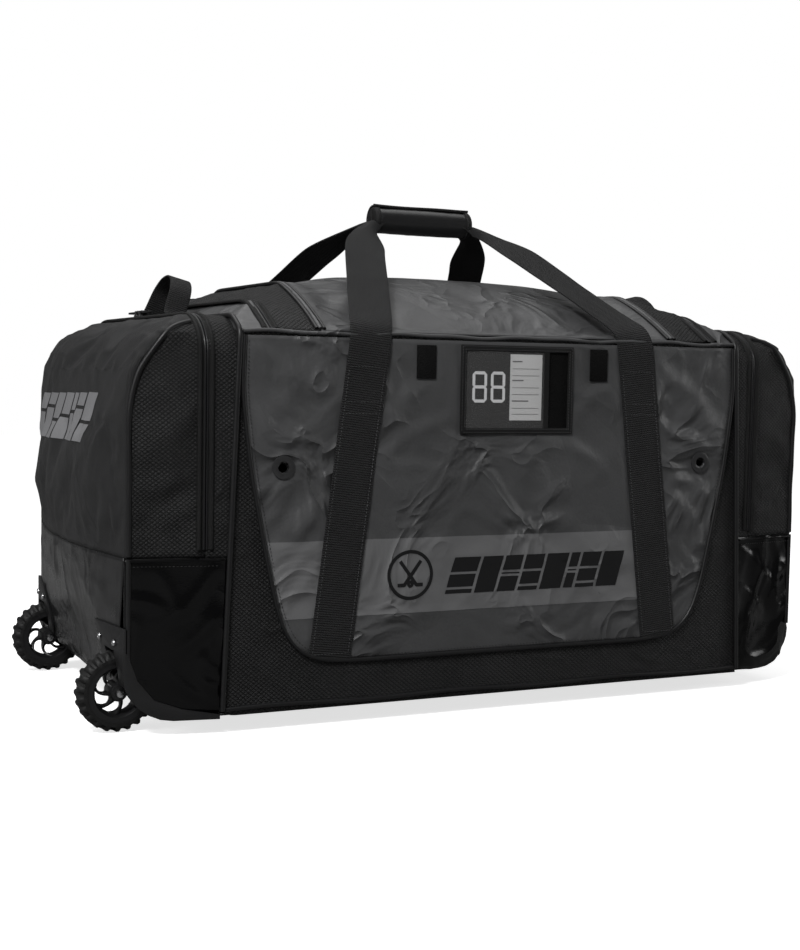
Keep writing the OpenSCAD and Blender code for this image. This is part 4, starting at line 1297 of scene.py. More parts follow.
# %% Double welts on the lid
for side, word in SIDES:
    x = mid_x + side * welt_x
    line = [touch(["lid_dome", "left_lid_gusset", "right_lid_gusset"], (x + side * 0.001, y, 0.3), (0, 0, 1))
            for y in np.linspace(front_y + 0.004, lid_back - 0.012, 60)]
    line = rounded_line([p for p in line if p], 0.005, 5)
    for label, offset, radius, paint in (("inner", -0.0045, 0.0021, piping_skin),
                                         ("middle", 0.0, 0.0024, tarpaulin),
                                         ("outer", 0.0046, 0.0022, piping_skin)):
        shifted = line + np.array([side * offset, 0, 0.0016])
        tube(word + "_welt_" + label, shifted, radius, paint, "lid")

# %% Corner piping, up each corner and over the side seam
corner_out = 0.0022


def seam_x(z):
    """Half the wall's length at a height: the wall narrows a little towards the top."""
    return half_base - (half_base - half_top) * (z - floor_z) / (seam_z - floor_z)


for side, word in SIDES:
    rise = np.linspace(floor_z + 0.006, seam_z, 30)
    path = [(mid_x + side * seam_x(z), front_y - corner_out, z) for z in rise]
    over = [touch(["side_rims"], (mid_x + side * (half_top - 0.003), y, 0.3), (0, 0, 1))
            for y in np.linspace(front_y + 0.002, back_y - 0.002, 60)]
    path += [(mid_x + side * half_top, p.y, p.z + 0.001) for p in over if p]
    path += [(mid_x + side * seam_x(z), back_y + corner_out, z) for z in reversed(rise)]
    tube(word + "_seam_piping", rounded_line(path, 0.005, 3), 0.0030, piping_skin, "root",
         stands_for=["seam_piping"] if side < 0 else ())

# %% Front and back seam rolls, with a slight wave as in any sewn edge
across = np.linspace(-half_top + 0.004, half_top - 0.004, 120)
wave = 0.0010 * np.sin(across * 38) + 0.0006 * np.sin(across * 83 + 1)
hem = np.stack([mid_x + across, np.full(120, front_y - 0.0008), seam_z - 0.0006 + wave], axis=1)
tube("front_seam_roll", hem, 0.0021, tarpaulin, "root")
stitch_rows("front_hem_stitches", [hem + np.array([0, -0.0016, -0.0024])], [(0, -1, 0)], binding, "root",
            pitch=0.0044, length=0.0026, radius=0.0005)
hem_back = hem * np.array([1, -1, 1]) + np.array([0, 0.0006, 0])
tube("back_seam_piping", hem_back, 0.0026, piping_skin, "root")
low = np.stack([mid_x + np.linspace(-half_base + 0.004, half_base - 0.004, 90), np.full(90, front_y - 0.0006),
                floor_z + 0.007 + 0.0012 * np.sin(np.linspace(0, 19, 90))], axis=1)
tube("front_floor_piping", low, 0.0026, piping_skin, "root")
tube("back_floor_piping", low * np.array([1, -1, 1]), 0.0026, piping_skin, "root")

# %% Piping round the front tarpaulin: its solid's outline, sorted round from corner to corner
outline = copy_of("front_tarp_panel", "outline_probe")
rim = np.array([p for p in points_of(outline) if p[1] < front_y - 0.001
                and np.hypot(abs(p[0] - mid_x) - 0.277, p[2] - 0.29) > 0.02])
bpy.data.objects.remove(outline)
turn = np.arctan2(rim[:, 0] - mid_x, -(rim[:, 2] - 0.30))
rim = rim[np.argsort(turn)]
rim = rim[rim[:, 2] < seam_z - 0.004]
rim = rounded_line(rim, 0.004, 22) + np.array([0, -0.0002, 0])
tube("tarpaulin_piping", rim, 0.0026, piping_skin, "root")
inner = rim + np.array([0, -0.0012, 0]) + unit(np.array([[mid_x, front_y, 0.28]]) - rim) * 0.0055
stitch_rows("tarpaulin_edge_stitches", [inner], [(0, -1, 0)], thread, "root", pitch=0.0042,
            length=0.003)

# %% [markdown]
# The pocket's piping sits in the seam between the end and the gusset, so it has to lie on the finished
# cloth and not on the solid below. Every point is probed from outside, up the corner first and then
# along the arc at which the two cloths were cut apart. Below the door the line goes on down the edge
# of the vinyl and round its bottom corner, but there it stays with the bag, so it is a piece of its own.

# %% Shoulder piping of the pockets, on the doors
CORE_X, CORE_Y = 0.380, 0.155


def on_door(side, core, direction):
    """The place where a probe coming in towards a core point meets a door's finished skin."""
    aim = Vector(direction).normalized()
    return door_probes[side].ray_cast(Vector(core) + aim * 0.3, -aim)[0]


def to_corner(side, face):
    """The direction from the core line inside a pocket towards its upright corner."""
    return (side * (corner_x - CORE_X - 0.002), face * (pocket_y - CORE_Y - 0.001), 0)


def pipe_shoulder(side, word, face, label):
    """The piping between one gusset and the end, up the corner and over to the zip."""
    path = [on_door(side, (mid_x + side * CORE_X, face * CORE_Y, z), to_corner(side, face))
            for z in np.linspace(kick_z + 0.002, pocket_top - WRAP_R + ARC_LOW, 22)]
    for turn in np.linspace(0.12, math.pi / 2, 26):
        x = mid_x + side * (corner_x - ARC_REACH * (1 - math.cos(turn)))
        up = ARC_LOW + ARC_RISE * math.sin(turn)
        slant = max(0, up) / WRAP_R
        path.append(on_door(side, (x, face * (abs(front_y) - WRAP_R), pocket_top - WRAP_R + min(up, 0)),
                            (0, face * math.cos(slant), math.sin(slant))))
    path = rounded_line([p for p in path if p and abs(p.x - mid_x) > zip_x + 0.009], 0.004, 6)
    tube(f"{word}_{label}_shoulder_piping", path, 0.0030, piping_skin, word + "_door",
         stands_for=[word + "_pocket_edging"] if face < 0 else ())


# %% Piping, hem and stitches of the kick panels


def trim_kick_panel(side, word, face, label):
    """The piping down one vinyl corner, its rolled top hem and the stitches under that."""
    path = [touch(["kick_panels"], (mid_x + side * CORE_X, face * CORE_Y, z), to_corner(side, face))
            for z in np.linspace(kick_z - 0.001, floor_z + 0.055, 20)]
    low_core = (mid_x + side * 0.395, face * CORE_Y, 0.07)
    path += [touch(["kick_panels"], low_core, (side * math.cos(a), face, -math.sin(a)))
             for a in np.linspace(0.1, 1.4, 12)]
    path = rounded_line([p for p in path if p], 0.004, 5)
    tube(f"{word}_{label}_kick_piping", path, 0.0028, piping_skin, "root")
    top_line = [touch(["kick_panels"], (x, face * 0.1, kick_z - 0.004), (0, face, 0))
                for x in mid_x + side * np.linspace(0.346, 0.441, 20)]
    top_line = np.array([tuple(p) for p in top_line if p]) + np.array([0, face * 0.0012, 0.001])
    tube(f"{word}_{label}_kick_hem", top_line, 0.0017, vinyl, "root")
    stitch_rows(f"{word}_{label}_kick_stitches", [top_line + np.array([0, face * 0.0012, -0.006])],
                [(0, face, 0)], thread, "root", pitch=0.0042, length=0.003)


for side, word in SIDES:
    for face, label in FACES:
        pipe_shoulder(side, word, face, label)
        trim_kick_panel(side, word, face, label)

# %% [markdown]
# ## The carry straps and the grip
# One length of webbing runs up the front, over the seam, through the grip and down again; a second does
# the same at the back. Sewn to the wall it belongs to the bag, above the seam it swings with the
# handle; here it is one band with no body of its own. Near the grip it is
# gathered from its full width to half of it, and its edges fold back.

# %% A webbing band along a line
WEB_T = 0.0019


def web_band(name, line, out, width, cup, seed, columns=14):
    """Webbing along a line. width and cup, how far the edges fold back, have a value for each point."""
    run = unit(np.gradient(line, axis=0))
    side = unit(np.cross(run, out))
    up = unit(np.cross(side, run))
    across = np.linspace(-0.5, 0.5, columns)
    rows = []
    for i, p in enumerate(line):
        buckle = max(0, noise.noise(Vector((i * 0.045, seed + 5, 0))))
        dip = 0.0006 * noise.noise(Vector((i * 0.11, seed, 0))) + 0.0009 * buckle ** 2
        roll = 0.0016 * noise.noise(Vector((i * 0.03, seed + 9, 0)))
        rows.append([p + side[i] * a * width[i] + up[i] * (dip + roll * a * 2 - cup[i] * (2 * abs(a)) ** 2)
                     for a in across])
    piece = placed_grid(name, rows)
    face_outwards(piece, up[:3].mean(0))
    apply_modifier(piece, "SOLIDIFY", thickness=WEB_T, offset=-1)
    apply_modifier(piece, "BEVEL", width=0.0004, segments=1, limit_method="ANGLE")
    return piece


def sewn_then_free(band, stands_for):
    """Dresses a band in webbing, takes it off every body and hides the solids that it stands for."""
    dress(band, webbing, "root")
    band.parent = None
    del band["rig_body"]
    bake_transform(band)
    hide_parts(*stands_for)


# %% Where the straps run: places in (y, z) of the hinge line and the grip, and the sewn part's ends in x
strap_low, strap_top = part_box("front_sewn_straps")[0].z, 0.4340
strap_foot_x, strap_top_x = STRAP_FOOT_X, 0.1752
hinge = np.array([0.2440, 0.4460])
grip_line = np.array([0.0085, 0.5900])
wall = abs(front_y) + 0.0040


def on_strap(side, face, offset, z):
    """A place on the sewn part of a strap, offset sideways from its middle line."""
    x = strap_foot_x - (strap_foot_x - strap_top_x) * (z - strap_low) / (strap_top - strap_low)
    return (mid_x + side * x + offset, face * (wall + 0.0002), z)


# %% The two carry straps
for face, word in FACES:
    half = [(strap_foot_x, wall, strap_low), (strap_top_x, wall, strap_top)]
    for x, share in ((0.1740, 0.02), (0.1150, 0.68), (0.0870, 0.925), (0.0700, 0.995), (0.0480, 1.0),
                     (0.0, 1.0)):
        y, z = hinge + (grip_line - hinge) * share
        half.append((x, y, z))
    half = rounded_line(half, 0.004, 12)
    half[:, 1] += 0.0012 * np.clip((half[:, 2] - 0.40) / 0.05, 0, 1)
    whole = np.concatenate([half * [-1, 1, 1], half[::-1][1:]])
    line = even_line(whole * [1, face, 1] + [mid_x, 0, 0], 0.004)
    lean = np.clip((line[:, 2] - 0.430) / 0.030, 0, 1)
    out = unit(np.stack([np.zeros(len(line)), face * (1 - 0.48 * lean), 0.85 * lean], axis=1))
    near = np.clip((np.abs(line[:, 0] - mid_x) - 0.078) / 0.034, 0, 1)
    near = near * near * (3 - 2 * near)
    inside = np.clip((np.abs(line[:, 0] - mid_x) - 0.058) / 0.016, 0, 1)
    width = 0.0135 + 0.0095 * inside + 0.027 * near
    cup = 0.0070 * (1 - near) * inside
    strap = web_band(word + "_carry_webbing", line, out, width, cup, seed=31 + face)
    sewn_then_free(strap,
                   (word + "_sewn_straps", word + "_handle_loop"))
    rows = []
    for side in (-1, 1):
        rows += [np.array([on_strap(side, face, -0.022, z), on_strap(side, face, 0.022, z)])
                 for z in (0.401, 0.362, 0.349, strap_low + 0.005)]
        rows += [np.array([on_strap(side, face, edge, strap_low + 0.004), on_strap(side, face, edge, 0.400)])
                 for edge in (-0.0215, 0.0215)]
    stitch_rows(word + "_strap_stitches", rows, [(0, face, 0)] * len(rows), pale_thread, "root",
                pitch=0.0040, length=0.003, radius=0.0005)

# %% [markdown]
# Each strap carries half of the grip: leatherette round soft stuffing, flat where the halves meet and
# bound at both ends. The back half has a flap that wraps over the top of the front half and closes
# with hook tape. A half roll is a profile swept along the grip, so that its bulge and pinched ends come
# from one formula; a bent cylinder would need its flat side and its ends made afterwards.

# %% Grip halves: stuffed leatherette rolls with bound ends
grip_z = sum(c.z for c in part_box("front_grip_half")) / 2
grip_half_len = (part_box("front_grip_half")[1].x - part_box("front_grip_half")[0].x) / 2


def half_roll(name, face, x0, x1, radius, bulge, sweep=(-90, 90), inner=0.0006, steps=40):
    """Half of a round roll along X, closed on its flat side; sweep is in degrees from straight out."""
    rows = []
    for x in np.linspace(x0, x1, steps):
        t = (x - x0) / (x1 - x0)
        end = min(t, 1 - t) * (x1 - x0)
        r = radius - 0.0022 * max(0, 1 - end / 0.003) ** 2 + bulge * math.sin(math.pi * t)
        r += 0.0003 * noise.noise(Vector((x * 90, face * 3, 1)))
        turn = np.radians(np.linspace(*sweep, 26))
        arc = [(mid_x + x, face * max(inner, r * math.cos(a)), grip_z + r * math.sin(a)) for a in turn]
        flat = [(mid_x + x, face * inner, grip_z + r * k) for k in np.linspace(0.92, -0.92, 8)]
        rows.append(arc + flat + arc[:1])
    piece = placed_grid(name, rows)
    edit_all(piece)
    bpy.ops.mesh.remove_doubles(threshold=0.00005)
    select_open_edges()
    bpy.ops.mesh.fill_holes(sides=0)
    bpy.ops.mesh.select_all(action="SELECT")
    bpy.ops.mesh.normals_make_consistent(inside=False)
    close_edit()
    return piece


for face, word in FACES:
    body = word + "_handle"
    roll = half_roll(word + "_grip_roll", face, -grip_half_len + 0.004, grip_half_len - 0.004, 0.0160, 0.0006)
    dress(roll, leatherette, body, [word + "_grip_half"])
    for side, label in SIDES:
        ends = sorted((side * grip_half_len, side * (grip_half_len - 0.0085)))
        bound = half_roll(f"{word}_grip_{label}_binding", face, ends[0], ends[1], 0.0172, 0.0004, steps=10)
        dress(bound, binding, body)
        turn = np.radians(np.linspace(-80, 80, 30))
        ring = np.array([(mid_x + side * (grip_half_len - 0.0068), face * 0.0177 * math.cos(a),
                          grip_z + 0.0177 * math.sin(a)) for a in turn])
        stitch_rows(f"{word}_grip_{label}_stitches", [ring], [ring - np.array([mid_x, 0, grip_z])], thread,
                    body, pitch=0.0034)

# %% The wrap's flap: a bound edge that lies over the top of the roll
turn = np.radians(np.linspace(-20, 104, 34))
rows = []
for x in np.linspace(-grip_half_len + 0.001, grip_half_len - 0.001, 60):
    end = min(x + grip_half_len, grip_half_len - x)
    lift = 0.0188 + 0.0005 * math.exp(-end / 0.012) + 0.0003 * math.sin(x * 60)
    rows.append([(mid_x + x, lift * math.cos(a), grip_z + lift * math.sin(a)) for a in turn])
flap = placed_grid("grip_wrap_flap", rows)
face_outwards(flap, (0, 1, 0.2))
apply_modifier(flap, "SOLIDIFY", thickness=0.0016, offset=-1)
dress(flap, leatherette, "back_handle")
edge = np.array([row[-2] for row in rows]) + np.array([0, 0, 0.0002])
tube("grip_flap_edge", edge, 0.0015, binding, "back_handle")
seam = np.array([row[-7] for row in rows]) + np.array([0, 0, 0.0003])
stitch_rows("grip_flap_stitches", [seam], [(0, -0.2, 1)], pale_thread, "back_handle")

# %% [markdown]
# On the top of each end is a short loop of webbing to grab the bag by. It is the same band as the carry
# straps, with its feet sewn flat to the collar and an arch that leans inwards, and like them it has no
# body of its own.

# %% Grab loops: a flat foot, an arch that leans inwards, a flat foot
for side, word in SIDES:
    middle = mid_x + side * 0.3435
    lean = math.radians(20)
    foot_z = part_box("grab_loop_feet")[1].z
    path = [(-0.060, 0.0), (-0.048, 0.001), (-0.0435, 0.012)]
    path += [(-0.041 * math.cos(a), 0.020 + 0.034 * math.sin(a)) for a in np.linspace(0.15, math.pi - 0.15,
                                                                                      26)]
    path += [(0.0435, 0.012), (0.048, 0.001), (0.060, 0.0)]
    path = rounded_line([(0, y, h) for y, h in path], 0.0022, 6)
    line = np.stack([middle - side * path[:, 2] * math.sin(lean) * 0.94, path[:, 1],
                     foot_z + path[:, 2] * math.cos(lean) * 0.94], axis=1)
    run = unit(np.gradient(path, axis=0))
    out = np.stack([-side * run[:, 1] * math.sin(lean), -run[:, 2], run[:, 1] * math.cos(lean)], axis=1)
    twist = 0.10 * np.sin(np.linspace(0, math.pi, len(line)))
    out[:, 0] += side * twist
    loop = web_band(word + "_grab_webbing", line, unit(out), np.full(len(line), 0.0265), np.zeros(len(line)),
                    41 + side, columns=8)
    sewn_then_free(loop,
                   [word + "_grab_loop"] + (["grab_loop_feet"] if side < 0 else []))
    rows = [np.array([(middle - 0.010, y, foot_z + 0.0006), (middle + 0.010, y, foot_z + 0.0006)])
            for y in (-0.057, -0.051, 0.051, 0.057)]
    stitch_rows(word + "_loop_stitches", rows, [(0, 0, 1)] * 4, pale_thread, "root")

# %% [markdown]
# ## Printed shapes and the window
# Prints and patches have to lie exactly on creased cloth. Each is a small grid whose points are found
# by probing the finished cloth, lifted by the thickness of the print. The lettering of the real bag is
# left out: a row of slanted bars and a plain badge of two crossed sticks over a puck hold its place.

# %% Probing finished cloth and printing on it


def printed(name, patches, place, lift, paint, body, thickness=0.0):
    """Grids laid on a surface. A patch is rows of plan points; place finds a point and a normal."""
    pieces = []
    for i, patch in enumerate(patches):
        rows = []
        for row in patch:
            found = [place(*p) for p in row]
            rows.append([np.array(p) + np.array(n) * lift for p, n in found])
        piece = placed_grid(f"{name}_{i}", rows)
        face_outwards(piece, found[0][1])
        pieces.append(piece)
    whole = join_pieces(pieces, name)
    if thickness:
        apply_modifier(whole, "SOLIDIFY", thickness=thickness, offset=-1)
    dress(whole, paint, body)
    print(name, len(whole.data.polygons), "faces")
    return whole


def on_skin(tree, direction, fallback):
    """A place function: plan points are put on the skin along a direction."""
    direction = Vector(direction)

    def place(u, v):
        """The point of the skin at a plan point, and the way it faces there."""
        start = fallback(u, v)
        found, normal, _, _ = tree.ray_cast(Vector(start) + direction * 0.08, -direction, 0.16)
        if found is None:
            return start, tuple(direction)
        return tuple(found), tuple(normal if normal.dot(direction) > 0 else -normal)
    return place


def bar(u0, u1, v0, v1, slant, cuts=(5, 7)):
    """A slanted bar: a patch of plan points."""
    return [[(u + slant * (v - v0), v) for u in np.linspace(u0, u1, cuts[0])]
            for v in np.linspace(v0, v1, cuts[1])]


def ring(u, v, r0, r1, parts=64):
    """A ring of plan points."""
    turn = np.linspace(0, 2 * math.pi, parts + 1)
    return [[(u + r * math.cos(a), v + r * math.sin(a)) for r in np.linspace(r0, r1, 4)] for a in turn]


def stick(u0, v0, u1, v1, width):
    """A straight stroke of plan points."""
    along = np.array([u1 - u0, v1 - v0])
    across = np.array([-along[1], along[0]]) / np.linalg.norm(along) * width / 2
    return [[tuple(np.array([u0, v0]) + along * t + across * k) for k in (-1, 0, 1)]
            for t in np.linspace(0, 1, 12)]


# %% The lighter band, the badge and the bars on the front
front_skin = skin_probe(tarp)
on_front = on_skin(front_skin, (0, -1, 0), lambda u, v: (u, front_y - 0.002, v))
band_low, band_high = 0.122, 0.208
rows = []
for v in np.linspace(band_low, band_high, 24):
    left = next(u for u in np.arange(mid_x - 0.335, mid_x, 0.001)
                if front_skin.ray_cast(Vector((u, front_y - 0.08, v)), Vector((0, 1, 0)), 0.09)[0]) + 0.0035
    rows.append([(u, v) for u in np.linspace(left, mid_x + 0.197, 120)])
printed("lighter_band", [rows], on_front, 0.0003, reflective, "root")
badge_u, badge_v = mid_x - 0.1215, 0.1655
badge = [ring(badge_u, badge_v, 0.0248, 0.0288), ring(badge_u, badge_v - 0.0105, 0.0005, 0.0042, 24),
         stick(badge_u - 0.013, badge_v + 0.016, badge_u + 0.008, badge_v - 0.012, 0.0042),
         stick(badge_u + 0.013, badge_v + 0.016, badge_u - 0.008, badge_v - 0.012, 0.0042),
         stick(badge_u + 0.007, badge_v - 0.0115, badge_u + 0.016, badge_v - 0.0115, 0.0042),
         stick(badge_u - 0.007, badge_v - 0.0115, badge_u - 0.016, badge_v - 0.0115, 0.0042)]
printed("front_badge", badge, on_front, 0.0006, dark_print, "root")

# %% The slanted bars: three in each column, cut at different heights
SLANT, BARS_LOW, BARS_CUT, BARS_HIGH, GAP = 0.30, 0.1415, 0.1635, 0.1835, 0.003
bars, start = [], -0.077
for i, wide in enumerate((0.034, 0.026, 0.024, 0.026, 0.030, 0.012, 0.026, 0.028)):
    notch = 0.146 + 0.026 * ((i * 5) % 3) / 2
    for low, high in ((BARS_LOW, notch), (notch + GAP, BARS_CUT), (BARS_CUT + GAP, BARS_HIGH)):
        u = mid_x + start + SLANT * (low - BARS_LOW)
        bars.append(bar(u, u + wide, low, high, SLANT))
    start += wide + 0.0038
printed("front_bars", bars, on_front, 0.0006, dark_print, "root")

# %% Silver bars on the left end, slanted the other way because the end is seen from its own side
END_SLANT, END_GAP = -0.22, 0.004
end_skin = skin_probe(end_skins[-1])
on_end = on_skin(end_skin, (-1, 0, 0), lambda u, v: (mid_x - end_x - 0.012, u, v))
bars, start = [], -0.089
for i, wide in enumerate((0.046, 0.034, 0.020, 0.040, 0.034, 0.042, 0.036, 0.040)):
    low, high = 0.309 - 0.012 * start, 0.365 - 0.02 * start
    cut = low + (high - low) * (0.36 + 0.3 * ((i * 3) % 4) / 3)
    if start + wide > 0.205:
        break
    bars.append(bar(start, start + wide, low, cut, END_SLANT, (6, 5)))
    shift = END_SLANT * (cut + END_GAP - low)
    bars.append(bar(start + shift, start + wide + shift, cut + END_GAP, high, END_SLANT, (6, 5)))
    start += wide + 0.005
printed("left_end_bars", bars, on_end, 0.0006, silver_print, "left_door")

# %% [markdown]
# The window is a clear film in a bound frame, with a card for the owner's name and a pair of segment
# digits behind it. Film, card and ink are thin sheets, a few tenths of a millimetre apart, because
# anything thicker would cast a shade on the next. The card's ruled lines stand for its small print.

# %% A solid with eased edges


def hard_copy(node, name, paint, body, bevel=0.0006):
    """A solid's own shape with its edges eased, for mouldings, metal and the window's binding."""
    piece = copy_of(node, name)
    apply_modifier(piece, "BEVEL", width=bevel, segments=2, limit_method="ANGLE",
                   angle_limit=math.radians(32))
    dress(piece, paint, body, [node])
    only(piece)
    bpy.ops.object.shade_smooth_by_angle(angle=math.radians(35))
    return piece


# %% Binding and film
film_paint = bpy.data.materials.new("clear film")
film_paint.use_nodes = True
for key, value in (("Base Color", (0.6, 0.6, 0.6, 1)), ("Roughness", 0.12), ("Alpha", 0.10),
                   ("Specular IOR Level", 0.8)):
    film_paint.node_tree.nodes["Principled BSDF"].inputs[key].default_value = value
hard_copy("id_window_frame", "window_binding", binding, "root", bevel=0.0009)
rows = []
low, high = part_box("id_window_film")
for y in np.linspace(-0.5, 0.5, 18):
    rows.append([(x, front_y - 0.0036 - 0.0005 * noise.noise(Vector((x * 50, y * 3, 2))),
                  low.z + (y + 0.5) * (high.z - low.z)) for x in np.linspace(low.x, high.x, 24)])
film = placed_grid("window_film", rows)
face_outwards(film, (0, -1, 0))
dress(film, film_paint, "root", ["id_window_film"])


def round_window(inset):
    """A closed line round the window's binding, this far in from its edge."""
    x0, x1 = window_low.x + inset, window_high.x - inset
    z0, z1 = window_low.z + inset, window_high.z - inset
    y = window_low.y - 0.0002
    return np.array([(x0, y, z0), (x1, y, z0), (x1, y, z1), (x0, y, z1), (x0, y, z0)])


stitch_rows("window_stitches", [round_window(0.0018), round_window(0.0054)], [(0, -1, 0)] * 2, pale_thread,
            "root", pitch=0.0034, length=0.0023)

# %% Backing, card and ruled lines


def flat_at(depth):
    """A place function: plan points are put on an upright plane."""
    return lambda u, v: ((u, depth, v), (0, -1, 0))


backing = [[(u, v) for u in (mid_x - 0.056, mid_x + 0.084)] for v in (0.331, 0.424)]
printed("window_backing", [backing], flat_at(front_y - 0.0021), 0, hook_pile, "root")
white = [[(u, v) for u in (mid_x + 0.003, mid_x + 0.046)] for v in (0.342, 0.419)]
card = printed("window_card", [white], flat_at(front_y - 0.0026), 0, card_stock, "root")
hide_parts("id_cards")
ink = [[[(mid_x + 0.006 + u, v + dv) for u in (0, long)] for dv in (0, thick)]
       for v, long, thick in ((0.410, 0.013, 0.0014), (0.402, 0.036, 0.0005), (0.394, 0.036, 0.0005),
                              (0.388, 0.015, 0.0014), (0.380, 0.036, 0.0005), (0.372, 0.036, 0.0005),
                              (0.364, 0.022, 0.0014), (0.356, 0.036, 0.0005), (0.349, 0.036, 0.0005))]
printed("card_lines", ink, flat_at(front_y - 0.0028), 0, card_ink, "root")

# %% Two digits of seven segments


def segment(u0, v0, u1, v1, t):
    """One segment of a digit, pointed at both ends: plan points."""
    along = np.array([u1 - u0, v1 - v0])
    length = np.linalg.norm(along)
    along /= length
    across = np.array([-along[1], along[0]])
    return [[tuple(np.array([u0, v0]) + along * s + across * k * (t / 2 if 0 < i < 3 else 0.0001))
             for k in (-1, 1)] for i, s in enumerate((0, t / 2, length - t / 2, length))]


digits, t, w, h = [], 0.0036, 0.0155, 0.0325
for left in (-0.0465, -0.0225):
    u, v = mid_x + left + t / 2, 0.3625 + t / 2
    for a, b, c, d in ((0, 0, w, 0), (0, h / 2, w, h / 2), (0, h, w, h), (0, 0, 0, h / 2), (0, h / 2, 0, h),
                       (w, 0, w, h / 2), (w, h / 2, w, h)):
        digits.append(segment(u + a, v + b, u + c, v + d, t))
printed("window_digits", digits, flat_at(front_y - 0.0027), 0, digit_ink, "root")

# %% [markdown]
# ## Hook tape, eyelets, brackets and runners
# The small hard parts have their real shape in the solids already. A moulding is never quite sharp, so
# each gets eased edges. The hook tape is a field of stubble: its grain stands a full millimetre high.
# Modelling them anew would give no more than the same shape a second time.

# %% Small hard parts
hard_copy("hook_patches", "hook_tape_patches", hook_pile, "root", bevel=0.0005)
hard_copy("vent_grommets", "eyelets", enamel, "root", bevel=0.0005)
for word in ("front", "back"):
    hard_copy(word + "_wheel_bracket", word + "_bracket", guard_plastic, "root", bevel=0.0009)
hard_copy("bracket_rivets", "rivets", steel, "root", bevel=0.0003)
hard_copy("wheel_axles", "axle_pins", steel, "root", bevel=0.0004)
hard_copy("skid_rails", "runners", guard_plastic, "root", bevel=0.0015)
hard_copy("base_board", "stiff_board", board, "root", bevel=0.001)

# %% Zip sliders and their pulls
for side in ("left", "right"):
    for what, end in (("lid", side), (side, "front"), (side, "back")):
        hard_copy(f"{what}_slider_{end}", f"{what}_runner_{end}", enamel, f"{what}_slider_{end}_body",
                  0.0003)
        hard_copy(f"{what}_tab_{end}", f"{what}_pull_{end}", tab_rubber, f"{what}_tab_{end}_body",
                  0.0003)

# %% [markdown]
# Between the main room and each end pocket hangs a soft wall. It is only seen with the bag open, so it
# keeps its solid's shape, with rounded edges and a slight swell, as foam under cloth has.

# %% Dividers: two soft padded walls inside
walls = copy_of("dividers", "inner_dividers")
rule_net(walls, [0, 0.03, 0.03])
apply_modifier(walls, "BEVEL", width=0.0015, segments=2, limit_method="ANGLE", angle_limit=math.radians(40))
places, outward = points_of(walls), normals_of(walls)
move_points(walls, swell(places, -outward, np.full(len(places), 12.0), 0.0012, 0.08, 50))
lay_flat(walls, "end")
dress(walls, ripstop, "root", ["dividers"])

# %% [markdown]
# ## Wheels
# Each wheel is a tyre with zig-zag lugs over both shoulders and a moulded hub: a rim, a boss, and seven
# curved blades with gaps between them. The tyre's profile is turned round the axle in small steps, and
# the shoulder points move in and out with the lugs. Spinning a plain profile and cutting the gaps
# afterwards would leave long thin faces where the cuts cross the curve.

# %% Turned shapes


def turned(name, at, profile, steps, shape=None):
    """A closed profile of (distance along the axle, radius) turned round an axle along Y."""
    rows = []
    for i in range(steps + 1):
        a = 2 * math.pi * i / steps
        points = [shape(i % steps, k, w, r) if shape else (w, r) for k, (w, r) in enumerate(profile)]
        rows.append([(at[0] + r * math.sin(a), at[1] + w, at[2] + r * math.cos(a)) for w,
                     r in points + points[:1]])
    piece = placed_grid(name, rows)
    edit_all(piece)
    bpy.ops.mesh.remove_doubles(threshold=0.00001)
    bpy.ops.mesh.normals_make_consistent(inside=False)
    close_edit()
    return piece


tyre_low, tyre_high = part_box("front_wheel_tyre")
wheel_r, wheel_w = (tyre_high.z - tyre_low.z) / 2, tyre_high.y - tyre_low.y
rim_r, hub_in = wheel_r * 0.76, wheel_r * 0.58
tyre_profile = [(-0.5, rim_r), (-0.5, wheel_r * 0.86), (-0.47, wheel_r * 0.90), (-0.42, wheel_r * 0.955),
                (-0.30, wheel_r), (-0.06, wheel_r), (0.06, wheel_r), (0.30, wheel_r), (0.42, wheel_r * 0.955),
                (0.47, wheel_r * 0.90), (0.5, wheel_r * 0.86), (0.5, rim_r)]
tyre_profile = [(w * wheel_w, r) for w, r in tyre_profile]
LUG_STEPS = 8
LUG_DEPTH = {2: 0.0035, 3: 0.0062, 4: 0.0052, 5: 0.0010, 6: 0.0010, 7: 0.0052, 8: 0.0062, 9: 0.0035}


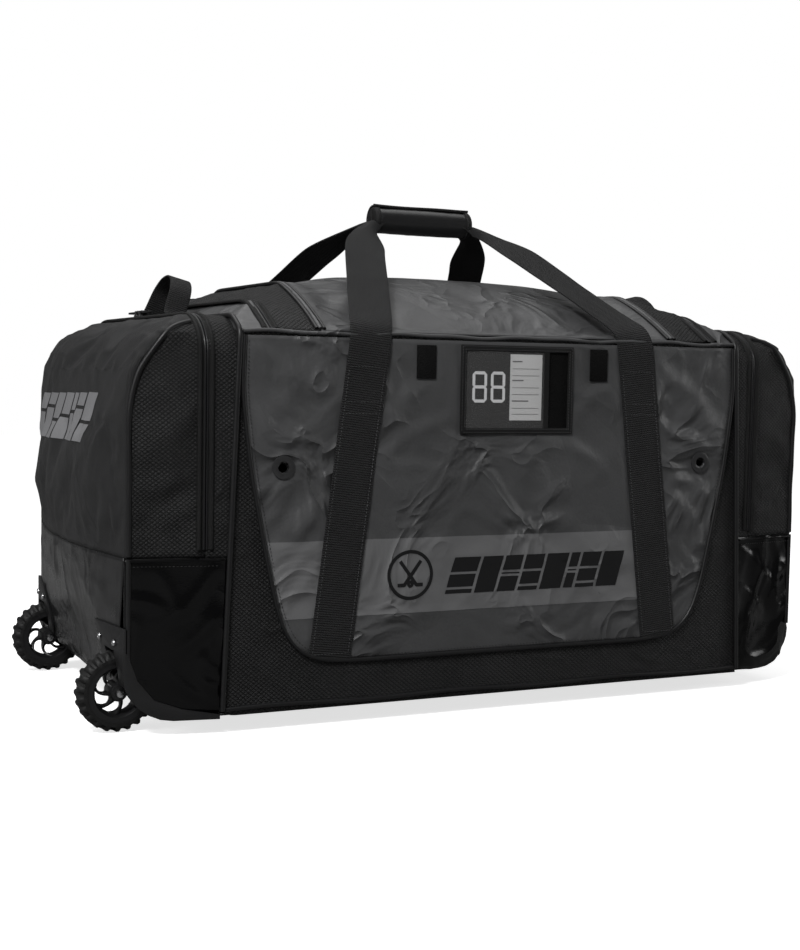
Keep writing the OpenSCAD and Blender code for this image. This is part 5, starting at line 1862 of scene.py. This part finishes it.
def lugs(i, k, w, r):
    """Cuts triangular gaps between the lugs into both shoulders, half a pitch apart."""
    side = 0 if w < 0 else 1
    phase = ((i + side * LUG_STEPS // 2) % LUG_STEPS) / LUG_STEPS
    gap = max(0.0, 1 - abs(phase - 0.5) / 0.30)
    return w, r - LUG_DEPTH.get(k, 0.0) * min(1.0, gap * 1.6)


# %% Both wheels
LUGS, BLADES = 22, 7
for face, word in FACES:
    low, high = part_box(word + "_wheel_tyre")
    at = ((low.x + high.x) / 2, (low.y + high.y) / 2, (low.z + high.z) / 2)
    body = word + "_wheel"
    tyre = turned(word + "_tyre", at, tyre_profile, LUGS * LUG_STEPS, lugs)
    dress(tyre, rubber, body, [word + "_wheel_tyre"])
    only(tyre)
    bpy.ops.object.shade_smooth_by_angle(angle=math.radians(30))
    half = wheel_w / 2 - 0.0008
    rim = turned(word + "_rim", at, [(-half, rim_r), (half, rim_r), (half, hub_in + 0.002),
                                     (half - 0.003, hub_in), (0, hub_in - 0.0016), (-half + 0.003, hub_in),
                                     (-half, hub_in + 0.002)], 72)
    boss = turned(word + "_boss", at, [(-0.0150, 0.0043), (-0.0150, 0.0085), (-0.0120, 0.0100),
                                       (0.0120, 0.0100), (0.0150, 0.0085), (0.0150, 0.0043)], 40)
    blades = []
    for i in range(BLADES):
        rows = []
        for t in np.linspace(0, 1, 12):
            r = 0.0088 + (hub_in - 0.0066) * t
            r = min(r, hub_in + 0.0006)
            a = 2 * math.pi * i / BLADES + 0.62 * t * t * -face
            w = 0.0120 - 0.0085 * math.sin(math.pi * min(t, 0.96))
            rows.append([(at[0] + r * math.sin(a), at[1] + w * k, at[2] + r * math.cos(a))
                         for k in (-1, -0.4, 0.4, 1)])
        blade = placed_grid(f"{word}_blade_{i}", rows)
        apply_modifier(blade, "SOLIDIFY", thickness=0.0030, offset=0)
        apply_modifier(blade, "BEVEL", width=0.0007, segments=2, limit_method="ANGLE")
        blades.append(blade)
    hub = join_pieces([rim, boss] + blades, word + "_hub")
    dress(hub, hub_plastic, body, [word + "_wheel_hub"])
    only(hub)
    bpy.ops.object.shade_smooth_by_angle(angle=math.radians(35))
    print(word, "wheel", len(tyre.data.polygons), "and", len(hub.data.polygons), "faces")
